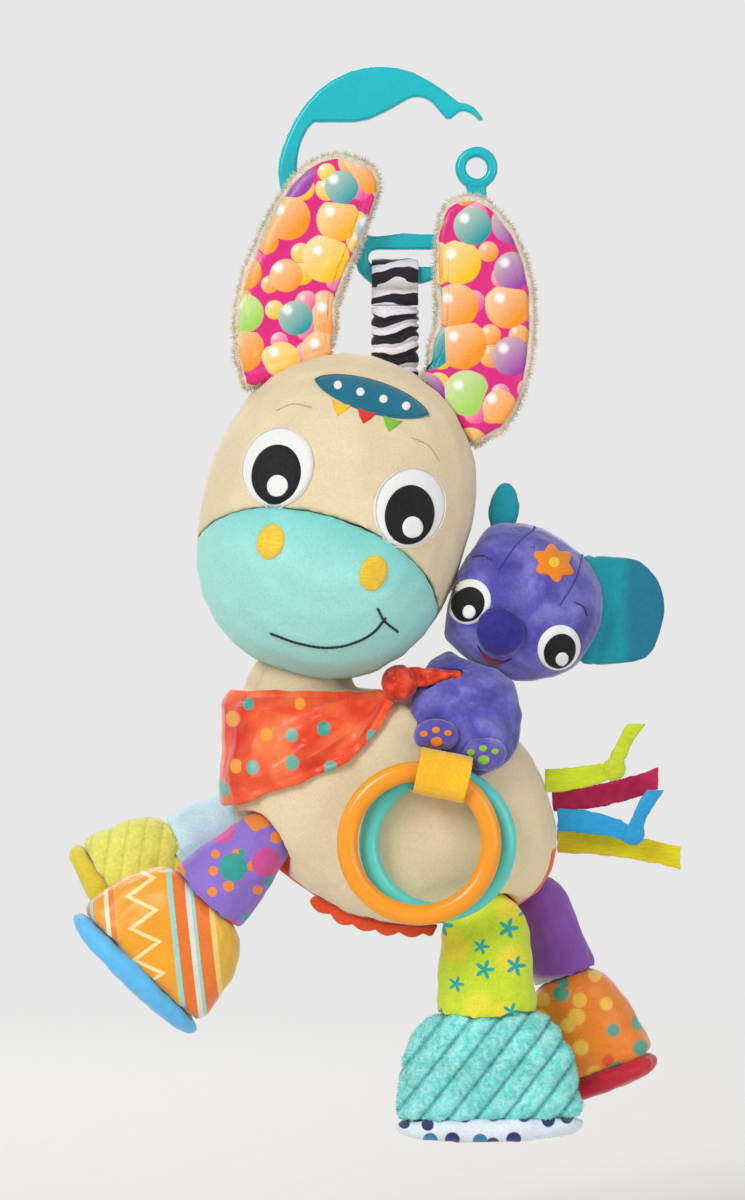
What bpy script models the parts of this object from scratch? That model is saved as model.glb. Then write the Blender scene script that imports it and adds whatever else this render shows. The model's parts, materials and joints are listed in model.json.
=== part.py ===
"""Hanging pram toy: a stuffed donkey with a small koala riding on it, hung by a gathered
elastic strap from an open plastic hook.

Metres, +Z up, the faces look along -Y. The origin is the flat seat under the hook's blade,
which rests on the rim that carries the toy."""

import math

import bmesh
import bpy
import numpy as np
from mathutils import Vector
from mathutils.bvhtree import BVHTree

for old_object in list(bpy.data.objects):
    bpy.data.objects.remove(old_object, do_unlink=True)

# Clearances
SEAM_GAP = 0.0004  # between pieces that are sewn or pressed together
TURN_GAP = 0.0006  # round an end that turns in its neighbour
SOFT_GAP = 0.0016  # between stuffed pieces that swing past each other
OVERRUN = 0.030  # how far a cutter runs past what it cuts

# Hook
HOOK_WIDTH = 0.0602
HOOK_RISE = 0.0161  # seat to the top of the arch
HOOK_DROP = 0.0467  # seat to the underside of the strap bar
HOOK_THICKNESS = 0.0052
HOOK_EDGE_ROUND = 0.0008
SEAT_LENGTH = 0.0118
SEAT_LEFT = 0.0098  # from the origin to the seat's left end
BAR_HEIGHT = 0.0050
SLOT_HEIGHT = 0.0049
SLOT_LEFT_ROOM = 0.0009
SLOT_RIGHT_ROOM = 0.0070
EYELET_DIAMETER = 0.0124
EYELET_HOLE = 0.0062
EYELET_X = 0.0370
EYELET_DROP = 0.0132
EYELET_EXTRA_THICKNESS = 0.0006

# Strap
STRAP_X = 0.0135
STRAP_WIDTH = 0.0137
STRAP_LOOP_WALL = 0.0012
STRAP_TAIL_LENGTH = 0.0040
STRAP_TAIL_THICKNESS = 0.0040
SLEEVE_LENGTH = 0.0205
SLEEVE_THICKNESS = 0.0072
SLEEVE_WALL = 0.0011
GATHER_COUNT = 6
GATHER_DEPTH = 0.0007
SLEEVE_SQUARENESS = 3.2
ELASTIC_SQUARENESS = 5.0
ELASTIC_WIDTH = 0.0080
ELASTIC_THICKNESS = 0.0014
STRAP_SEAT_DEPTH = 0.0022  # how far the strap's lower end is sunk into the head

# Donkey's head
HEAD_WIDTH = 0.0766
HEAD_HEIGHT = 0.0938
HEAD_FRONT_DEPTH = 0.0330
HEAD_BACK_DEPTH = 0.0320
HEAD_TILT = math.radians(17)
HEAD_SQUARENESS = 2.35
HEAD_FULLNESS = 2.2
HEAD_LEFT_OF_STRAP = 0.0170
HEAD_AHEAD_OF_STRAP = 0.0090
MUZZLE_SWELL_SHARE = 0.16
MUZZLE_ARCH_WIDTH = 0.0730
MUZZLE_ARCH_HEIGHT = 0.0200
MUZZLE_DROP = 0.0007  # from the head's centre to the top of the arch
EYE_SPREAD = 0.0194  # head's middle line to an eye's centre
EYE_RISE = 0.0080
EYE_WIDTH = 0.0190
EYE_HEIGHT = 0.0220
PUPIL_WIDTH = 0.0142
PUPIL_HEIGHT = 0.0168
PUPIL_SHIFT = 0.0006
FELT_THICKNESS = 0.0009
NOSTRIL_SPREAD = 0.0151
NOSTRIL_DROP = 0.0126
NOSTRIL_WIDTH = 0.0078
NOSTRIL_HEIGHT = 0.0102
BAND_LENGTH = 0.0320
BAND_HEIGHT = 0.0090
BAND_RISE = 0.0350

# Donkey's ears
EAR_LENGTH = 0.0580
EAR_BACK_DEPTH = 0.0032
EAR_FRONT_DEPTH = 0.0030
EAR_ROLL_RADIUS = 0.0026
EAR_AHEAD_OF_STRAP = 0.0110
EAR_HEM_SHARE = 0.80  # lining's outline over the ear's own
EAR_FULLNESS = 2.6
FILM_THICKNESS = 0.0004
LINING_THICKNESS = 0.0014
LINING_CROWN = 0.0012
EAR_FLOP = math.radians(45)
LEFT_EAR_X = -0.0142  # from the head's centre
LEFT_EAR_RISE = 0.0421
LEFT_EAR_TURN = math.radians(-16)
RIGHT_EAR_X = 0.0339
RIGHT_EAR_RISE = 0.0315
RIGHT_EAR_TURN = math.radians(52)

# Donkey's body
BODY_LENGTH = 0.0928
BODY_HEIGHT = 0.0710
BODY_DEPTH = 0.0560
BODY_FULLNESS = 2.8
BODY_RIGHT_OF_HEAD = 0.0175
BODY_BELOW_HEAD = 0.0839
GUSSET_WIDTH = 0.0180
NECK_RADIUS = 0.0160
NECK_DEPTH = 0.0320
NECK_LEFT_OF_BODY = 0.0280
NECK_ABOVE_BODY = 0.0325
TRIM_THICKNESS = 0.0012
TRIM_REACH = 0.0026
TRIM_SCALLOP = 0.0062
TRIM_ROOT = 0.0050
TRIM_SPAN_SHARE = 0.32  # of the body's length, to each side
TRIM_BASE_SHARE = 0.45  # depth between two scallops over their full depth
TRIM_STEPS = 4  # points along a scallop

# Rattle capsule inside the body
CAPSULE_RADIUS = 0.0110
CAPSULE_WALL = 0.0014
BEAD_RADIUS = 0.0022
BEAD_SPACING_TURN = math.radians(44)

# Kerchief
CLOTH_THICKNESS = 0.0012
FOLD_DEPTH = 0.0009
FOLD_COUNT = 7
KNOT_WIDTH = 0.0108
KNOT_HEIGHT = 0.0112
KNOT_DEPTH = 0.0100
KNOT_TAIL_LENGTH = 0.0150
KNOT_TAIL_WIDTH = 0.0056
KNOT_TAIL_RISE = 0.0016
TAIL_TAPER_SHARE = 0.7
KNOT_RIGHT_OF_BODY = 0.0006
KNOT_ABOVE_BODY = 0.0360
KNOT_AHEAD = 0.0205

# Rings and their tab
RING_DIAMETER = 0.0468
RING_TUBE = 0.0054
INNER_RING_DIAMETER = 0.0450
INNER_RING_TUBE = 0.0052
RING_RUN_GAP = 0.0005
TAB_SLACK = 0.0020  # room before the front ring, for its curve as it swings out
TAB_RIGHT_OF_BODY = 0.0129
TAB_ABOVE_BODY = 0.0108
TAB_TILT = math.radians(12)
TAB_WIDTH = 0.0150
TAB_RIBBON = 0.0010
TAB_RISE = 0.0062  # tube centre to the tab's upper fold
TAB_FALL = 0.0070  # tube centre to the tab's lower fold
TAB_ROUND_SHARE = 0.7  # of the tab's half depth, in its folds
RING_LEAN = math.radians(19)
INNER_RING_LEAN = math.radians(4)

# Koala
KOALA_BESIDE_HEAD = 0.0143  # from the donkey's cheek to the koala's centre
KOALA_ABOVE_BODY = 0.0593
KOALA_AHEAD = 0.0080
KOALA_HEAD_WIDTH = 0.0490
KOALA_HEAD_HEIGHT = 0.0440
KOALA_HEAD_DEPTH = 0.0370
KOALA_TILT = math.radians(27)
KOALA_SQUARENESS = 2.2
KOALA_FULLNESS = 2.2
KOALA_EYE_SPREAD = 0.0157
KOALA_EYE_DROP = 0.0062
KOALA_EYE_SIZE = 0.0129
KOALA_NOSE_WIDTH = 0.0140
KOALA_NOSE_HEIGHT = 0.0150
KOALA_NOSE_DEPTH = 0.0060
KOALA_NOSE_LEFT = 0.0012
KOALA_NOSE_DROP = 0.0094
KOALA_BODY_WIDTH = 0.0340
KOALA_BODY_HEIGHT = 0.0380
KOALA_BODY_DEPTH = 0.0280
KOALA_BODY_LEFT = 0.0160  # from the koala's head centre
KOALA_BODY_DROP = 0.0326
KOALA_BODY_AHEAD = 0.0075
KOALA_BODY_LEAN_SHARE = 0.35  # how far its top lies back, over its height
KOALA_FOOT_WIDTH = 0.0140
KOALA_FOOT_HEIGHT = 0.0104
KOALA_FOOT_DEPTH = 0.0080
LEFT_FOOT_X = -0.0078  # from the koala's body centre
LEFT_FOOT_DROP = 0.0055
RIGHT_FOOT_X = 0.0052
RIGHT_FOOT_DROP = 0.0105
FOOT_AHEAD = 0.0150
KOALA_BODY_SQUARENESS = 2.3
KOALA_EAR_WIDTH = 0.0165
KOALA_EAR_HEIGHT = 0.0300
KOALA_EAR_THICKNESS = 0.0030
KOALA_NOD = math.radians(8)
KOALA_LEFT_EAR_ANGLE = math.radians(32)  # round the head, up from its side
KOALA_RIGHT_EAR_ANGLE = math.radians(21)
KOALA_EAR_TURN = math.radians(27)
KOALA_EAR_ROOT = 0.0030  # how far a flap would reach into the head, were it not cut

# Legs
LEG_SWING = math.radians(22)
LEG_SPLAY = 0.0135  # middle plane of the body to a leg's middle
FRONT_LEG_RADIUS = 0.0098
FRONT_LEG_DEPTH = 0.0200
FRONT_LEG_LENGTH = 0.0260
FRONT_LEG_END_WIDTH = 0.0270
FRONT_LEG_END_DEPTH = 0.0230
REAR_LEG_RADIUS = 0.0132
REAR_LEG_DEPTH = 0.0220
REAR_LEG_LENGTH = 0.0270
REAR_LEG_END_WIDTH = 0.0300
REAR_LEG_END_DEPTH = 0.0230
FAR_REAR_LEG_RADIUS = 0.0090
FAR_REAR_LEG_DEPTH = 0.0200
FAR_REAR_LEG_LENGTH = 0.0270
FAR_REAR_LEG_END_WIDTH = 0.0200
FAR_REAR_LEG_END_DEPTH = 0.0190
FRONT_BOOT_TOP_WIDTH = 0.0330
FRONT_BOOT_WIDTH = 0.0500
FRONT_BOOT_HEIGHT = 0.0270
FRONT_BOOT_DEPTH = 0.0250
FAR_BOOT_TOP_WIDTH = 0.0280
FAR_BOOT_WIDTH = 0.0400
FAR_BOOT_HEIGHT = 0.0250
FAR_BOOT_DEPTH = 0.0240
REAR_BOOT_TOP_WIDTH = 0.0380
REAR_BOOT_WIDTH = 0.0560
REAR_BOOT_HEIGHT = 0.0300
REAR_BOOT_DEPTH = 0.0250
FAR_REAR_BOOT_TOP_WIDTH = 0.0230
FAR_REAR_BOOT_WIDTH = 0.0360
FAR_REAR_BOOT_HEIGHT = 0.0290
FAR_REAR_BOOT_DEPTH = 0.0240
SOLE_THICKNESS = 0.0050
BOOT_LAP = 0.0050  # how far a leg is sunk into its boot
BOOT_SQUARENESS = 2.4
BOOT_SHARES = (  # down the boot, over its width and over its depth there
    (0.0, 0.60, 0.60),
    (0.06, 0.90, 0.84),
    (0.2, 1.0, 0.93),
    (0.45, 1.06, 0.98),
    (0.72, 1.0, 1.0),
    (0.9, 0.98, 0.98),
    (1.0, 0.92, 0.90),
)
SOLE_SHARES = (  # down the sole, over its width and depth
    (0.0, 0.90),
    (0.18, 0.985),
    (0.5, 1.0),
    (0.82, 0.95),
    (1.0, 0.84),
)
NEAR_FRONT_HIP_LEFT = 0.0400  # from the body's centre
NEAR_FRONT_HIP_DROP = 0.0106
NEAR_FRONT_ANGLE = math.radians(44)
FAR_FRONT_HIP_LEFT = 0.0425
FAR_FRONT_HIP_DROP = 0.0030
FAR_FRONT_ANGLE = math.radians(59)
NEAR_REAR_HIP_RIGHT = 0.0254
NEAR_REAR_HIP_DROP = 0.0362
NEAR_REAR_ANGLE = math.radians(-1)
FAR_REAR_HIP_RIGHT = 0.0415
FAR_REAR_HIP_DROP = 0.0290
FAR_REAR_ANGLE = math.radians(-20)

# Tail ribbons
RIBBON_WIDTH = 0.0070
RIBBON_THICKNESS = 0.0010
LIME_LENGTH = 0.0200
CRIMSON_LENGTH = 0.0310
BLUE_LENGTH = 0.0220
YELLOW_LENGTH = 0.0360
RIBBON_KNOT = 0.0072
RIBBON_KNOT_DEPTH = 0.0044
RIBBON_END_LENGTH = 0.0130
RIBBON_END_WIDTH = 0.0042
LIME_RISE = 0.0078  # from the body's centre line to a ribbon's root
CRIMSON_RISE = 0.0020
BLUE_RISE = -0.0036
YELLOW_RISE = -0.0102
RIBBON_LAYER = 0.0042  # step between ribbons, front to back
RIBBON_SQUARENESS = 4.0
RIBBON_END_SQUARENESS = 3.0
LIME_BOW_SHARE = 0.5  # rise of a ribbon's end over its width
CRIMSON_BOW_SHARE = 0.9
BLUE_BOW_SHARE = -0.6
YELLOW_BOW_SHARE = -0.7
KNOT_SQUEEZE_SHARE = 0.35  # width that a ribbon loses at its knot
END_LEAN_SHARE = 0.25

# Mesh
WELD = 0.000001
SHARP_EDGE = math.radians(40)


# Shapes are pairs of point and face lists


def smooth_run(corners, steps):
    """Points along a smooth curve through the corners, from the first to the last."""
    ends = [2 * corners[0] - corners[1]] + list(corners) + [2 * corners[-1] - corners[-2]]
    run = []
    for i in range(1, len(ends) - 2):
        before, here, there, after = ends[i - 1 : i + 3]
        for step in range(steps):
            t = step / steps
            run.append(
                0.5
                * (
                    2 * here
                    + (there - before) * t
                    + (2 * before - 5 * here + 4 * there - after) * t**2
                    + (3 * here - before - 3 * there + after) * t**3
                )
            )
    return run + [corners[-1]]


def smooth_loop(corners, steps):
    """Points along a smooth closed curve through the corners."""
    around = [corners[-1]] + list(corners) + list(corners[:2])
    return smooth_run(around, steps)[steps : -steps - 1]


def scaled(shares, width, height):
    """Outline points from shares of a width and a height."""
    return [np.array((x * width, z * height)) for x, z in shares]


def oval(width, height, count, squareness=2.0, first=0.0):
    """Closed outline of an oval; a squareness over 2 fills its corners. The first point lies
    this share of a step past its side."""
    outline = []
    for i in range(count):
        turn = 2 * math.pi * (i + first) / count
        c, s = math.cos(turn), math.sin(turn)
        reach = (abs(c) ** squareness + abs(s) ** squareness) ** (-1 / squareness)
        outline.append(np.array((width / 2 * reach * c, height / 2 * reach * s)))
    return outline


def lofted(rings, first_pole, last_pole):
    """Closed shape through rings of equally many points, each end closed on a pole."""
    count = len(rings[0])
    points = [first_pole] + [point for ring in rings for point in ring] + [last_pole]
    faces = []
    for i in range(count):
        j = (i + 1) % count
        faces.append((0, 1 + j, 1 + i))
        for k in range(len(rings) - 1):
            a, b = 1 + k * count, 1 + (k + 1) * count
            faces.append((a + i, a + j, b + j, b + i))
        last = 1 + (len(rings) - 1) * count
        faces.append((len(points) - 1, last + i, last + j))
    return turned_out([np.array(point, float) for point in points], faces)


def turned_out(points, faces):
    """The shape with its faces pointing outwards."""
    volume = 0.0
    for face in faces:
        for i in range(1, len(face) - 1):
            a, b, c = points[face[0]], points[face[i]], points[face[i + 1]]
            volume += np.dot(a, np.cross(b, c))
    if volume < 0:
        faces = [tuple(reversed(face)) for face in faces]
    return points, faces


def pillow(outline, front, back, rings, fullness=2.0, middle=None):
    """Outline in the XZ plane, swollen to the front (-Y) and the back (+Y)."""
    middle = np.mean(outline, axis=0) if middle is None else np.array(middle)
    shares = [math.sin(math.pi / 2 * k / rings) for k in range(1, rings + 1)]

    def ring(share, depth):
        height = depth * max(0.0, 1 - share**fullness) ** (1 / fullness)
        flat = [middle + share * (point - middle) for point in outline]
        return [(x, height, z) for x, z in flat]

    loops = [ring(share, -front) for share in shares]
    loops += [ring(share, back) for share in reversed(shares[:-1])]
    x, z = middle
    return lofted(loops, (x, -front, z), (x, back, z))


def plate(outline, y_front, y_back):
    """Outline in the XZ plane, drawn out flat between two depths."""
    count = len(outline)
    points = [np.array((x, y, z)) for y in (y_front, y_back) for x, z in outline]
    faces = [tuple(range(count)), tuple(range(2 * count - 1, count - 1, -1))]
    for i in range(count):
        j = (i + 1) % count
        faces.append((i, i + count, j + count, j))
    return turned_out(points, faces)


def ball(width, depth, height, segments, rings):
    """Ellipsoid, made like a pillow so that it is round about Y."""
    return pillow(oval(width, height, segments), depth / 2, depth / 2, rings)


def rod(start, end, radius, segments):
    """Flat-ended round bar between two points."""
    start, end = np.array(start, float), np.array(end, float)
    along = (end - start) / np.linalg.norm(end - start)
    side = np.cross(along, (0.0, 1.0, 0.0))
    if np.linalg.norm(side) < 0.5:
        side = np.cross(along, (1.0, 0.0, 0.0))
    side /= np.linalg.norm(side)
    other = np.cross(along, side)
    rings = []
    for centre in (start, end):
        ring = []
        for i in range(segments):
            turn = 2 * math.pi * i / segments
            ring.append(centre + radius * (math.cos(turn) * side + math.sin(turn) * other))
        rings.append(ring)
    return lofted(rings, start, end)


def moved(shape, x=0.0, y=0.0, z=0.0, turn=0.0):
    """The shape turned about Y, then moved. A positive turn tips its top towards +X."""
    c, s = math.cos(turn), math.sin(turn)
    points, faces = shape
    return [np.array((c * p[0] + s * p[2] + x, p[1] + y, c * p[2] - s * p[0] + z)) for p in points], faces


def grown(shape, distance):
    """The shape with each point moved outwards by the distance."""
    points, faces = shape
    normals = [np.zeros(3) for _ in points]
    for face in faces:
        for i in range(1, len(face) - 1):
            a, b, c = points[face[0]], points[face[i]], points[face[i + 1]]
            normal = np.cross(b - a, c - a)
            for corner in (face[0], face[i], face[i + 1]):
                normals[corner] = normals[corner] + normal
    return [p + distance * n / np.linalg.norm(n) for p, n in zip(points, normals)], faces


def hit(shape, start, direction):
    """Where a ray first meets the shape."""
    tree = BVHTree.FromPolygons([Vector(p) for p in shape[0]], shape[1])
    found = tree.ray_cast(Vector(start), Vector(direction))[0]
    return np.array(found)


# Objects


def linear(hex_colour):
    """Linear colour from an sRGB hex number."""
    channels = [(hex_colour >> shift & 255) / 255 for shift in (16, 8, 0)]
    return [c / 12.92 if c <= 0.04045 else ((c + 0.055) / 1.055) ** 2.4 for c in channels] + [1.0]


def material(name, hex_colour, roughness):
    made = bpy.data.materials.new(name)
    made.use_nodes = True
    shader = made.node_tree.nodes["Principled BSDF"]
    shader.inputs["Base Color"].default_value = linear(hex_colour)
    shader.inputs["Roughness"].default_value = roughness
    shader.inputs["Metallic"].default_value = 0.0
    return made


TEAL_PLASTIC = material("teal plastic", 0x00BCCB, 0.22)
ORANGE_PLASTIC = material("orange plastic", 0xFFA50F, 0.25)
TURQUOISE_PLASTIC = material("turquoise plastic", 0x5FD6CC, 0.25)
CLEAR_PLASTIC = material("milky plastic", 0xE6E6E0, 0.4)
BEAD_PLASTIC = material("bead plastic", 0xD8453A, 0.35)
STRIPED_CLOTH = material("striped cloth", 0xF2ECF4, 0.8)
ELASTIC = material("white elastic", 0xEFEFEF, 0.85)
CREAM_VELOUR = material("cream velour", 0xEBD9B6, 0.95)
MINT_VELOUR = material("mint velour", 0x9DE3DA, 0.95)
WHITE_FELT = material("white felt", 0xF7F7F5, 0.95)
BLACK_FELT = material("black felt", 0x0B0A0D, 0.8)
YELLOW_THREAD = material("yellow thread", 0xF5CB38, 0.7)
BAND_CLOTH = material("deep teal cloth", 0x14708A, 0.8)
PLUSH = material("cream plush", 0xE4D5C0, 1.0)
FILM = material("clear film", 0xDDE6E8, 0.15)
LINING = material("magenta satin", 0xE0287F, 0.35)
ORANGE_CLOTH = material("orange red cloth", 0xEB5228, 0.7)
KERCHIEF_SATIN = material("orange red satin", 0xF4552A, 0.4)
TAB_RIBBON_CLOTH = material("golden ribbon", 0xFFC21E, 0.6)
PURPLE_VELOUR = material("purple velour", 0x5A51B0, 0.95)
TEAL_FELT = material("teal felt", 0x1893A3, 0.95)
NOSE_FELT = material("dark purple felt", 0x3A2E8F, 0.9)
FOOT_VELOUR = material("violet velour", 0x4F46A6, 0.95)
LILAC_CLOTH = material("lilac print", 0x9173CF, 0.7)
PALE_BLUE_CLOTH = material("pale blue cloth", 0xCFEFFA, 0.7)
LIME_CLOTH = material("lime print", 0xD2E833, 0.7)
PURPLE_CLOTH = material("purple print", 0x8A4FB0, 0.7)
ORANGE_PRINT = material("orange print", 0xF6A03C, 0.55)
YELLOW_PLUSH = material("yellow plush", 0xEFEF6E, 0.95)
CORD_PLUSH = material("turquoise cord plush", 0x8FEFE8, 0.95)
AMBER_PRINT = material("amber print", 0xF08A24, 0.5)
BLUE_SOLE = material("light blue sole cloth", 0x63C0F5, 0.7)
WHITE_SOLE = material("white sole cloth", 0xF2F4F7, 0.7)
RED_SOLE = material("red sole cloth", 0xC8102E, 0.7)
YELLOW_SOLE = material("yellow sole cloth", 0xE8D63A, 0.7)
LIME_RIBBON = material("lime ribbon", 0xCFE022, 0.45)
CRIMSON_RIBBON = material("crimson ribbon", 0xC4104F, 0.45)
BLUE_RIBBON = material("blue ribbon", 0x1D9ED9, 0.45)
YELLOW_RIBBON = material("yellow ribbon", 0xE8D400, 0.45)


def frame(name, parent, x=0.0, y=0.0, z=0.0, turn=0.0):
    """Empty that carries a body, with its origin on the body's joint axis."""
    empty = bpy.data.objects.new(name, None)
    bpy.context.scene.collection.objects.link(empty)
    empty.parent = parent
    empty.location = (x, y, z)
    empty.rotation_euler = (0.0, turn, 0.0)
    return empty


def flat_faced(points, faces):
    """The faces with each four-sided one split along its shorter diagonal."""
    flat = []
    for face in faces:
        if len(face) != 4:
            flat.append(face)
            continue
        a, b, c, d = face
        first = np.linalg.norm(points[a] - points[c])
        second = np.linalg.norm(points[b] - points[d])
        flat += [(a, b, c), (a, c, d)] if first <= second else [(a, b, d), (b, c, d)]
    return flat


def linked(name, parent, shape):
    mesh = bpy.data.meshes.new(name)
    points, faces = shape
    mesh.from_pydata([tuple(point) for point in points], [], flat_faced(points, faces))
    mesh.update()
    obj = bpy.data.objects.new(name, mesh)
    bpy.context.scene.collection.objects.link(obj)
    obj.parent = parent
    return obj


def piece(name, parent, shape, look):
    """One sub-part of the toy, shaded smooth."""
    obj = linked(name, parent, shape)
    obj.data.materials.append(look)
    obj.data.shade_smooth()
    obj.data.set_sharp_from_angle(angle=SHARP_EDGE)
    return obj


def cutter(name, parent, shape):
    """Helper that other pieces are cut with; it isn't part of the toy."""
    obj = linked(name, parent, shape)
    obj.hide_render = True
    obj.display_type = "WIRE"
    return obj


def combine(obj, operation, *others):
    for other in others:
        modifier = obj.modifiers.new(operation.lower(), "BOOLEAN")
        modifier.operation = operation
        modifier.solver = "EXACT"
        modifier.object = other
    return obj


def cut(obj, *others):
    return combine(obj, "DIFFERENCE", *others)


def keep(obj, *others):
    return combine(obj, "INTERSECT", *others)


def join(obj, *others):
    return combine(obj, "UNION", *others)


def patch(name, parent, carrier, outline, look, lift=0.0):
    """Thin felt piece that follows the front of the carrier inside the outline."""
    inner = SEAM_GAP + lift
    obj = piece(name, parent, grown(carrier, inner + FELT_THICKNESS), look)
    keep(obj, cutter(name + "_outline", parent, plate(outline, -OVERRUN - OVERRUN, 0.0)))
    return cut(obj, cutter(name + "_bed", parent, grown(carrier, inner)))


def seen_from(shape, source, target):
    """The shape, given in one frame's axes, as it lies in another's."""
    bpy.context.view_layer.update()
    change = target.matrix_world.inverted() @ source.matrix_world
    return [np.array(change @ Vector(point)) for point in shape[0]], shape[1]


def at(outline, x, z):
    """The outline moved in the XZ plane."""
    return [point + np.array((x, z)) for point in outline]


# Hook: one flexible moulding, an open arch that ends in an eyelet, with a slot for the strap

ARCH_SHARES = (  # x over the width, z over the rise or the drop, from the tip round to the stem
    (0.650, 0.04),
    (0.603, 0.27),
    (0.545, 0.35),
    (0.523, 0.37),
    (0.453, 0.58),
    (0.311, 0.89),
    (0.156, 1.00),
    (0.000, 0.90),
    (-0.143, 0.58),
    (-0.252, 0.07),
    (-0.317, -0.167),
    (-0.337, -0.317),
    (-0.304, -0.484),
    (-0.208, -0.634),
    (-0.065, -0.752),
    (0.020, -0.826),
    (0.048, -0.925),
    (0.110, -1.000),
)
BELLY_SHARES = (
    (0.352, -1.000),
    (0.425, -0.965),
    (0.545, -0.852),
    (0.641, -0.668),
    (0.663, -0.501),
    (0.661, -0.385),
)
INNER_SHARES = (
    (0.566, -0.385),
    (0.563, -0.501),
    (0.518, -0.627),
    (0.427, -0.694),
    (0.259, -0.685),
    (0.116, -0.705),
    (-0.038, -0.634),
    (-0.156, -0.535),
    (-0.228, -0.400),
    (-0.246, -0.268),
    (-0.228, -0.133),
    (-0.191, -0.036),
)
MOUTH_SHARES = (
    (0.103, 0.05),
    (0.208, 0.24),
    (0.286, 0.41),
    (0.344, 0.45),
    (0.402, 0.35),
    (0.473, 0.05),
    (0.512, 0.12),
    (0.545, 0.20),
    (0.596, 0.14),
    (0.626, 0.03),
)
BAR_Z = BAR_HEIGHT / 2 - HOOK_DROP
LOOP_BORE = math.hypot(BAR_HEIGHT, HOOK_THICKNESS) / 2 + SEAM_GAP - HOOK_EDGE_ROUND / 2
LOOP_RADIUS = LOOP_BORE + STRAP_LOOP_WALL


def hook_points(shares):
    return [
        np.array((x * HOOK_WIDTH, z * (HOOK_RISE if z > 0 else HOOK_DROP))) for x, z in shares
    ]


def slot_outline():
    left = STRAP_X - STRAP_WIDTH / 2 - SLOT_LEFT_ROOM
    right = STRAP_X + STRAP_WIDTH / 2 + SLOT_RIGHT_ROOM
    low = BAR_Z + BAR_HEIGHT / 2
    middle, radius = low + SLOT_HEIGHT / 2, SLOT_HEIGHT / 2
    outline = []
    for centre, first in ((right - radius, -90), (left + radius, 90)):
        for step in range(7):
            turn = math.radians(first + 30 * step)
            outline.append(np.array((centre + radius * math.cos(turn), middle + radius * math.sin(turn))))
    return outline


def rounded_plate(name, parent, outlines, thickness, look):
    """Plate with rounded rims: a filled outline, drawn out and bevelled, with any further
    outlines as holes."""
    curve = bpy.data.curves.new(name, "CURVE")
    curve.dimensions = "2D"
    curve.fill_mode = "BOTH"
    curve.extrude = thickness / 2 - HOOK_EDGE_ROUND
    curve.bevel_depth = HOOK_EDGE_ROUND
    curve.bevel_resolution = 0
    curve.offset = -HOOK_EDGE_ROUND
    for outline in outlines:
        spline = curve.splines.new("POLY")
        spline.points.add(len(outline) - 1)
        spline.use_cyclic_u = True
        for point, (x, z) in zip(spline.points, outline):
            point.co = (x, z, 0.0, 1.0)
    obj = bpy.data.objects.new(name, curve)
    bpy.context.scene.collection.objects.link(obj)
    obj.parent = parent
    obj.rotation_euler = (math.pi / 2, 0.0, 0.0)
    curve.materials.append(look)
    return obj


def curve_mesh(obj):
    """Closed shape that a curve object makes, in its parent's axes; the curve is dropped."""
    bpy.context.view_layer.update()
    graph = bpy.context.evaluated_depsgraph_get()
    shape = bmesh.new()
    shape.from_mesh(obj.evaluated_get(graph).to_mesh())
    bmesh.ops.remove_doubles(shape, verts=shape.verts, dist=WELD)
    bmesh.ops.recalc_face_normals(shape, faces=shape.faces)
    shape.transform(obj.matrix_local)
    points = [np.array(vertex.co) for vertex in shape.verts]
    faces = [tuple(vertex.index for vertex in face.verts) for face in shape.faces]
    shape.free()
    bpy.data.objects.remove(obj, do_unlink=True)
    return turned_out(points, faces)


def make_hook(parent):
    seat = [np.array((-SEAT_LEFT, 0.0)), np.array((SEAT_LENGTH - SEAT_LEFT, 0.0))]
    outline = smooth_run(hook_points(ARCH_SHARES), 2)
    outline += smooth_run(hook_points(BELLY_SHARES), 2)
    outline += smooth_run(hook_points(INNER_SHARES), 2)
    outline += seat + smooth_run(hook_points(MOUTH_SHARES), 2)
    arm = curve_mesh(rounded_plate("arm", parent, [outline, slot_outline()], HOOK_THICKNESS, TEAL_PLASTIC))
    ring_outlines = [
        at(oval(diameter, diameter, 20), EYELET_X, -EYELET_DROP)
        for diameter in (EYELET_DIAMETER, EYELET_HOLE)
    ]
    ring_thickness = HOOK_THICKNESS + EYELET_EXTRA_THICKNESS
    ring = curve_mesh(rounded_plate("ring", parent, ring_outlines, ring_thickness, TEAL_PLASTIC))
    hook = piece("hook", parent, arm, TEAL_PLASTIC)
    return join(hook, cutter("eyelet", parent, ring))


# Strap: a loop of gathered cloth round the bar, and a gathered sleeve over flat elastic


def ring_profile(radius, segments, first, last):
    return [
        np.array((radius * math.cos(turn), radius * math.sin(turn)))
        for turn in np.linspace(first, last, segments)
    ]


def along_x(outline, left, right):
    """Outline in the YZ plane, drawn out along X."""
    count = len(outline)
    points = [np.array((x, y, z)) for x in (left, right) for y, z in outline]
    faces = [tuple(range(count)), tuple(range(2 * count - 1, count - 1, -1))]
    for i in range(count):
        j = (i + 1) % count
        faces.append((i, i + count, j + count, j))
    return turned_out(points, faces)


def make_strap_loop(parent):
    """Keyhole-shaped section: a round eye about the bar and a flat sewn tail below it."""
    half = STRAP_TAIL_THICKNESS / 2
    side = math.asin(half / LOOP_RADIUS)
    outline = ring_profile(LOOP_RADIUS, 22, side - math.pi / 2, 3 * math.pi / 2 - side)
    tail = -LOOP_RADIUS - STRAP_TAIL_LENGTH
    outline += [np.array((-half, tail)), np.array((half, tail))]
    loop = piece("strap_loop", parent, along_x(outline, -STRAP_WIDTH / 2, STRAP_WIDTH / 2), STRIPED_CLOTH)
    bore = along_x(oval(2 * LOOP_BORE, 2 * LOOP_BORE, 20), -STRAP_WIDTH, STRAP_WIDTH)
    return cut(loop, cutter("bar_bore", parent, bore))


def sleeve_ring(width, thickness, z, count=14):
    return [(x, y, z) for x, y in oval(width, thickness, count, SLEEVE_SQUARENESS)]


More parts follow.
